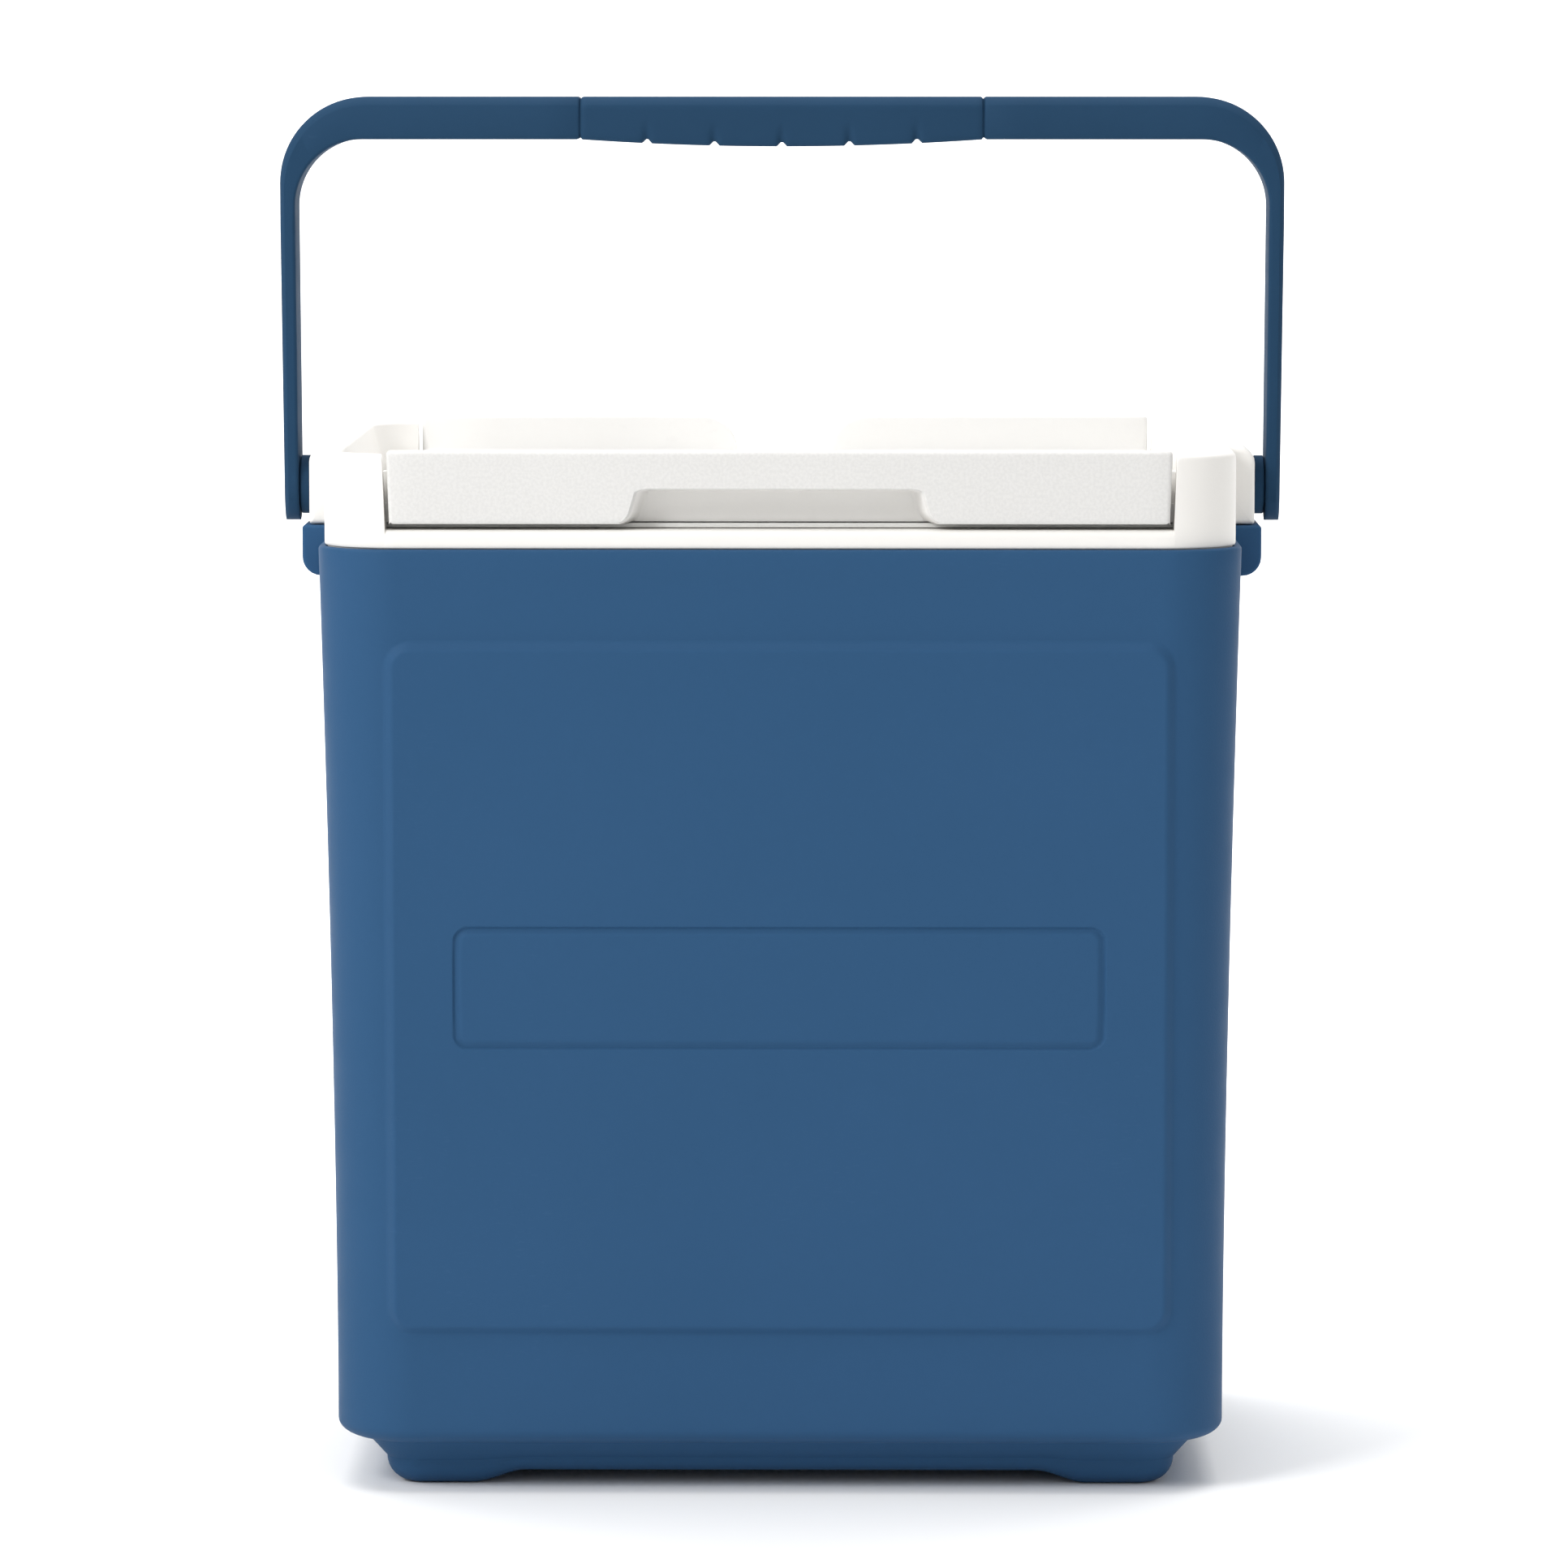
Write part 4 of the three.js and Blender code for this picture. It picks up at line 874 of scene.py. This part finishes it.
def rear_rim_section(x):
    """The rear rim's closed outline at x, from the bottom of its rear face up, over the fence and forward."""
    drawn = end_inset(x, TONGUE_HALF, TONGUE_END_ROUND)
    share = fence_share(x)
    top = REAR_LEDGE + (FENCE_TOP - REAR_LEDGE) * share
    rear, inner = COLLAR_HALF_Y - drawn, FENCE_INNER + drawn * 0.5
    section = [(rear - 1.2, LID_UNDERSIDE + drawn), (rear - 0.3, LID_UNDERSIDE + drawn + 0.3)]
    low = LID_UNDERSIDE + drawn + 1.2
    section += [(rear, low + (top - FENCE_ROUND - low) * i / 6) for i in range(6)]
    arc = [(FENCE_ROUND * (1 - math.cos(a)), FENCE_ROUND * (1 - math.sin(a))) for a in quarter]
    section += [(rear - across, top - drawn - down) for across, down in arc]
    section += [(inner + across, top - drawn - down * share) for across, down in reversed(arc)]
    fence_root = REAR_LEDGE + FENCE_ROUND
    for i in range(1, 5):
        section.append((inner - 0.1 * i * (1 - share), top + (fence_root - top) * i / 4 * share))
    fillet_from = inner - 0.4 * (1 - share)
    section += [(fillet_from - across, REAR_LEDGE + up * share) for across, up in arc[1:]]
    section += REAR_SLOPE
    section += [(REAR_SLOPE_END, REAR_FLOOR), (REAR_INNER, REAR_FLOOR), (REAR_INNER, LID_UNDERSIDE + drawn)]
    return [(x, y, z) for y, z in section]


fence_turns = [math.radians(a) for a in (0, 4, 8, 14, 20, 27, 34, 42, 50, 58, 66, 74, 82, 90)]
fence_stations = (
    spaced(0, FENCE_GAP_HALF, 4)
    + [FENCE_GAP_HALF + FENCE_END_RADIUS * (1 - math.cos(a)) for a in fence_turns]
    + spaced(34, TONGUE_HALF - TONGUE_END_ROUND, 8)
    + end_stations
)
rear_rim = skin("rear_rim", [rear_rim_section(x) for x in both_ways(fence_stations)], flat_cap)
for side in (-1, 1):
    drill(rear_rim, 0, PIN_HOLE, [side * along for along in LID_PIN_HOLE_REACH], (HINGE_Y, HINGE_Z))


def join(piece, others):
    """Adds the others' meshes to this piece's and deletes them."""
    joined = bmesh.new()
    joined.from_mesh(piece.data)
    for other in others:
        joined.from_mesh(other.data)
        bpy.data.meshes.remove(other.data)
    joined.to_mesh(piece.data)
    joined.free()


# A short rib behind each end of the front rim, which closes the slit beside it.
END_RIB = (136.0, 143.2, 353.2, 371.3)      # inner and outer x, low and high z
END_RIB_Y, END_RIB_HALF_DEPTH = -108.2, 2.5
end_ribs = []
for side in (-1, 1):
    rib = side_block("end_rib", side, END_RIB, (0.5, 0.5, 1.5, 0.5), END_RIB_HALF_DEPTH, 0.5)
    for vertex in rib.data.vertices:
        vertex.co.y += END_RIB_Y * MM
    end_ribs.append(rib)
join(lid_cover, [front_rim, rear_rim] + end_ribs)
lid_white = plastic(
    "lid_white",
    dict(Color=(0.83, 0.82, 0.80, 1), Shade=(0.815, 0.805, 0.785, 1), Cloud_Scale=8.0, Grain_Scale=900.0,
         Grain_Depth=0.3, Smoothest=0.48, Roughest=0.58),
    dict(Mark=(0.70, 0.69, 0.68, 1), Amount=0.12, Stretch=(1.0, 0.3, 1.0)), 0.2,
)
# Only the front rim's face, which lies further forward, is painted darker: painted shade, with a fine
# stippled tone.
tree = lid_white.node_tree
shader = tree.nodes["Principled BSDF"]
place = add_node(tree, "TexCoord").outputs["Object"]
depth = add_node(tree, "SeparateXYZ", Vector=place)
front_face_mask = ramped(tree, depth.outputs["Y"], -119.5 * MM, -121.5 * MM)
# Painted shade on the front face: its brightness falls to between 0.81 and 0.86, varied in a fine stipple.
stipple_and_painted_shade = ramped(tree, noise(tree, place, 900.0, 1.0), 0.3, 0.7, 0.86, 0.81)
smooth_color = shader.inputs["Base Color"].links[0].from_socket
dimmed = add_node(tree, "HueSaturation", Color=smooth_color, Value=stipple_and_painted_shade)
tree.links.new(mixed(tree, front_face_mask, smooth_color, dimmed.outputs["Color"]), shader.inputs["Base Color"])
finish(lid_cover, "lid", "lid_cover", lid_white, 40)

# ---------------------------------------------------------------- lid inner panel
# The lid's underside: a glossy white plug that fits the liner's mouth, with a flange welded to the
# cover's rim; foam fills the space behind it.

PLUG = (141.6, 98.6, 20.0)                  # half width, half depth, corner radius
FLANGE = (LID_HALF_X - 1.5, lid_half_y - 1.5, LID_CORNER - 1.5)
FLANGE_LEVELS = ((0.3, 350.9), (0.0, 351.2), (0.0, 352.2), (0.3, 352.5))
PANEL_LEVELS = (        # inset from the plug's full size, height
    (6.0, 330.0), (3.6, 330.6), (2.3, 332.2), (1.8, 334.8), (0.0, 350.9),
)
PANEL_INSIDE = ((2.2, 352.5), (2.2, 350.9), (4.0, 335.0), (4.6, 333.2), (7.0, 332.2))
panel_columns = both_ways(spaced(0, 110, 11) + [110.0])


def plug_ring(inset, z):
    return level_ring(*[size - inset for size in PLUG], z, panel_columns)


def flange_ring(inset, z):
    sizes = [size - inset for size in FLANGE]
    ring = level_ring(*sizes, z, panel_columns, FLANGE[0] / PLUG[0])
    return [(x, y + lid_middle, z) for x, y, z in ring]


inner_rings = [plug_ring(*level) for level in PANEL_LEVELS]
inner_rings += [flange_ring(*level) for level in FLANGE_LEVELS]
inner_rings += [plug_ring(*level) for level in PANEL_INSIDE]
inner_panel = skin("inner_panel", inner_rings, strip_cap(len(panel_columns)))
finish(inner_panel, "lid", "lid_inner_panel", liner_white)

# ---------------------------------------------------------------- handle
# A stiff blue bail moulded in one piece, thin at its arms and thick across the top, its outer edges
# well rounded. It snaps on to a stud at each side of the collar and swings to the front or the back.

HANDLE_TOP = 504.3
BAR_LOW = 488.6
ARM_OUT = (185.1, 186.2)    # at the pivot, at the bend
ARM_IN = (179.8, 180.5)
HALF_DEPTH = 13.3
OUTER_BEND, INNER_BEND = 31.8, 24.8
OUTER_EDGE, INNER_EDGE = 3.4, 1.6       # radii of the section's edges
EDGE_FLATTENING = 0.7       # 0 leaves the outer edges round, 1 makes them flat chamfers
GRIP_HALF = 74.8
CORE = (9.0, 4.6)           # half depth and half height of the bar inside the grip


def chamfered(cos_a, sin_a):
    """A point of a quarter circle moved most of the way on to its chord."""
    factor = 1 - EDGE_FLATTENING + EDGE_FLATTENING / (abs(cos_a) + abs(sin_a))
    return cos_a * factor, sin_a * factor


def bail_section(outer, inner, half_depth, out_round, in_round, steps=7):
    """A ring between an outer and an inner point in X and Z, with its outer and inner edges rounded."""
    (xo, zo), (xi, zi) = outer, inner
    length = math.hypot(xo - xi, zo - zi)
    ux, uz = (xo - xi) / length, (zo - zi) / length
    points = []
    corners = ((1, 1, out_round, 0), (1, -1, out_round, 270), (-1, -1, in_round, 180), (-1, 1, in_round, 90))
    for along, across, (ru, rv), start in corners:
        for i in range(steps + 1):
            a = math.radians(start + 90 - 90 * i / steps)
            cos_a, sin_a = math.cos(a), math.sin(a)
            if along > 0:
                cos_a, sin_a = chamfered(cos_a, sin_a)
            u = (length if along > 0 else 0) - along * ru + ru * cos_a
            v = across * (half_depth - rv) + rv * sin_a
            points.append((xi + ux * u, v, zi + uz * u))
    return points


def between(pair, share):
    return pair[0] + (pair[1] - pair[0]) * share


def bail_stations():
    """(outer point, inner point, half depth) from the middle of the bar to the end of the right arm."""
    outer_centre = (ARM_OUT[1] - OUTER_BEND, HANDLE_TOP - OUTER_BEND)
    inner_centre = (ARM_IN[1] - INNER_BEND, BAR_LOW - INNER_BEND)
    stations = []
    for x in (GRIP_HALF + 1.1, 90, 110, 130, 146):
        stations.append(((x, HANDLE_TOP), (x, BAR_LOW), HALF_DEPTH))
    for i in range(25):
        a = math.radians(90 - 90 * i / 24)
        outer = (outer_centre[0] + OUTER_BEND * math.cos(a), outer_centre[1] + OUTER_BEND * math.sin(a))
        inner = (inner_centre[0] + INNER_BEND * math.cos(a), inner_centre[1] + INNER_BEND * math.sin(a))
        stations.append((outer, inner, HALF_DEPTH))
    for z in (456, 440, 420, 400, 380, PIVOT_Z + 12, PIVOT_Z + 8, PIVOT_Z + 4, PIVOT_Z):
        share = (z - PIVOT_Z) / (inner_centre[1] - PIVOT_Z)
        stations.append(((between(ARM_OUT, share), z), (between(ARM_IN, share), z), HALF_DEPTH))
    for degrees in range(9, 87, 7):
        a = math.radians(degrees)
        z = PIVOT_Z - HALF_DEPTH * math.sin(a)
        stations.append(((ARM_OUT[0], z), (ARM_IN[0], z), HALF_DEPTH * math.cos(a)))
    return stations


def bail_ring(outer, inner, half_depth, drawn=0.0):
    """A section whose edges fit its thickness, drawn in all round by a little."""
    thickness = math.hypot(outer[0] - inner[0], outer[1] - inner[1])
    ux, uz = (outer[0] - inner[0]) / thickness, (outer[1] - inner[1]) / thickness
    outer = (outer[0] - ux * drawn, outer[1] - uz * drawn)
    inner = (inner[0] + ux * drawn, inner[1] + uz * drawn)
    wide = min(1.0, half_depth / HALF_DEPTH)
    out_round = (min(OUTER_EDGE, thickness * 0.3), min(OUTER_EDGE, thickness * 0.45) * wide)
    in_round = (min(INNER_EDGE, thickness * 0.25), INNER_EDGE * wide)
    return bail_section(outer, inner, half_depth - drawn, out_round, in_round)


right_half = [bail_ring(*station) for station in bail_stations()]
cut_end = []
for x, drawn in ((GRIP_HALF, 0.8), (GRIP_HALF + 0.5, 0.3)):
    cut_end.append(bail_ring((x, HANDLE_TOP), (x, BAR_LOW), HALF_DEPTH, drawn))
core_middle = (HANDLE_TOP + BAR_LOW) / 2
core_rings = []
for x in (20, GRIP_HALF):
    core_top, core_low = (x, core_middle + CORE[1]), (x, core_middle - CORE[1])
    core_rings.append(bail_section(core_top, core_low, CORE[0], (1, 1), (1, 1)))
right_half = core_rings + cut_end + right_half
left_half = [[(-x, y, z) for x, y, z in ring] for ring in reversed(right_half)]
bail = skin("bail", left_half + right_half, flat_cap)
drill(bail, 0, TRUNNION_HOLE, (-190, 190), (0, PIVOT_Z))
handle_blue = plastic(
    "handle_blue",
    dict(Color=(0.0165, 0.049, 0.099, 1), Shade=(0.018, 0.053, 0.107, 1), Cloud_Scale=9.0, Grain_Scale=1500.0,
         Grain_Depth=0.2, Smoothest=0.60, Roughest=0.68),
    dict(Mark=(0.06, 0.12, 0.20, 1), Amount=0.10, Stretch=(0.25, 1.0, 1.0)), 0.05,
)
finish(bail, "handle", "handle_bail", handle_blue, 40)

# ---------------------------------------------------------------- grip
# A blue sleeve round the bar's slim middle, a little deeper below, with five notches between the
# fingers that fade out up its front and back faces. Its ends are chamfered and leave a fine seam.

GRIP_END = GRIP_HALF - 0.05
GRIP_BULGE = 2.6
NOTCH_PITCH = 25.0
NOTCH_COUNT = 5
NOTCH_DEPTH = 1.5
NOTCH_WIDTH = 1.9
NOTCH_RISE = 3.0        # how far up the notch cuts the lower edge
DENT_WIDTH = 1.6
DENT_DEPTH = 1.6
DENT_RISE = 8.5         # how far up the faces a notch fades out
FACE_FROM = 8.0         # only the front and back faces, further out than this, are dented
SEAM_CHAMFER, SEAM_REACH = 0.8, 0.9     # how deep and how long each end is drawn in

notch_places = [(i - (NOTCH_COUNT - 1) / 2) * NOTCH_PITCH for i in range(NOTCH_COUNT)]


def with_face_rows(ring):
    """Adds points on the ring's four flat runs, which are otherwise single edges."""
    corner = len(ring) // 4
    points = []
    for i, point in enumerate(ring):
        points.append(point)
        if i % corner == corner - 1:
            ahead = ring[(i + 1) % len(ring)]
            points += [tuple(p + (q - p) * k / 8 for p, q in zip(point, ahead)) for k in range(1, 8)]
    return points


def grip_ring(x):
    """One ring of the grip at x, with its bulge, its notches and its chamfered ends."""
    nearest = min(abs(x - place) for place in notch_places)
    drawn = SEAM_CHAMFER * smooth_step((abs(x) - GRIP_END + SEAM_REACH) / SEAM_REACH)
    low = BAR_LOW - GRIP_BULGE * (1 - (x / GRIP_END) ** 2)
    cut = NOTCH_DEPTH * min(1.3 * max(1 - nearest / NOTCH_WIDTH, 0), 1)
    ring = with_face_rows(bail_ring((x, HANDLE_TOP), (x, low), HALF_DEPTH, drawn))
    shaped = []
    for px, py, pz in ring:
        up = max(pz - low - drawn, 0)
        lifted = pz + cut * max(1 - up / NOTCH_RISE, 0)
        dent = DENT_DEPTH * math.exp(-(nearest / DENT_WIDTH) ** 2) * max(1 - up / DENT_RISE, 0)
        shaped.append((px, py - math.copysign(dent, py) if abs(py) > FACE_FROM else py, lifted))
    return shaped


grip_half = [0.0]
near_notch = both_ways([0.0, 0.45, 0.9, 1.3, 1.6, 1.8, 1.9, 2.1, 2.6, 3.2, 4.2, 6.0])
for place in notch_places[NOTCH_COUNT // 2:]:
    grip_half += [place + d for d in near_notch]
grip_half += [12.5, 37.5, 62, 68, 72] + [GRIP_END - SEAM_REACH * share for share in (1, 2 / 3, 1 / 3, 0)]
grip_half = sorted({round(x, 3) for x in grip_half if x >= 0})
grip = skin("grip", [grip_ring(x) for x in both_ways(grip_half)], flat_cap)
finish(grip, "handle", "handle_grip", handle_blue, 45)

# ---------------------------------------------------------------- pivot studs
# A blue moulded stud at each side: a smooth journal that goes into the collar's boss, a broad hub
# that keeps the arm off it, and a spigot that fills the hole in the arm.

STUD_PROFILE = (        # radius and distance from the chest's middle, from the journal's end outwards
    (0.0, 159.0), (5.0, 159.0), (6.0, 160.0), (6.0, 175.5), (10.4, 175.5), (10.9, 176.0),
    (10.9, 179.0), (10.4, 179.5), (6.0, 179.5), (6.0, 183.6), (5.4, 184.2), (0.0, 184.2),
)
for name, side in (("pivot_stud_left", -1), ("pivot_stud_right", 1)):
    profile = [(radius, side * along) for radius, along in STUD_PROFILE]
    stud = lathe(name + "_looks", profile, 0, (0, PIVOT_Z))
    finish(stud, "handle", name, handle_blue)
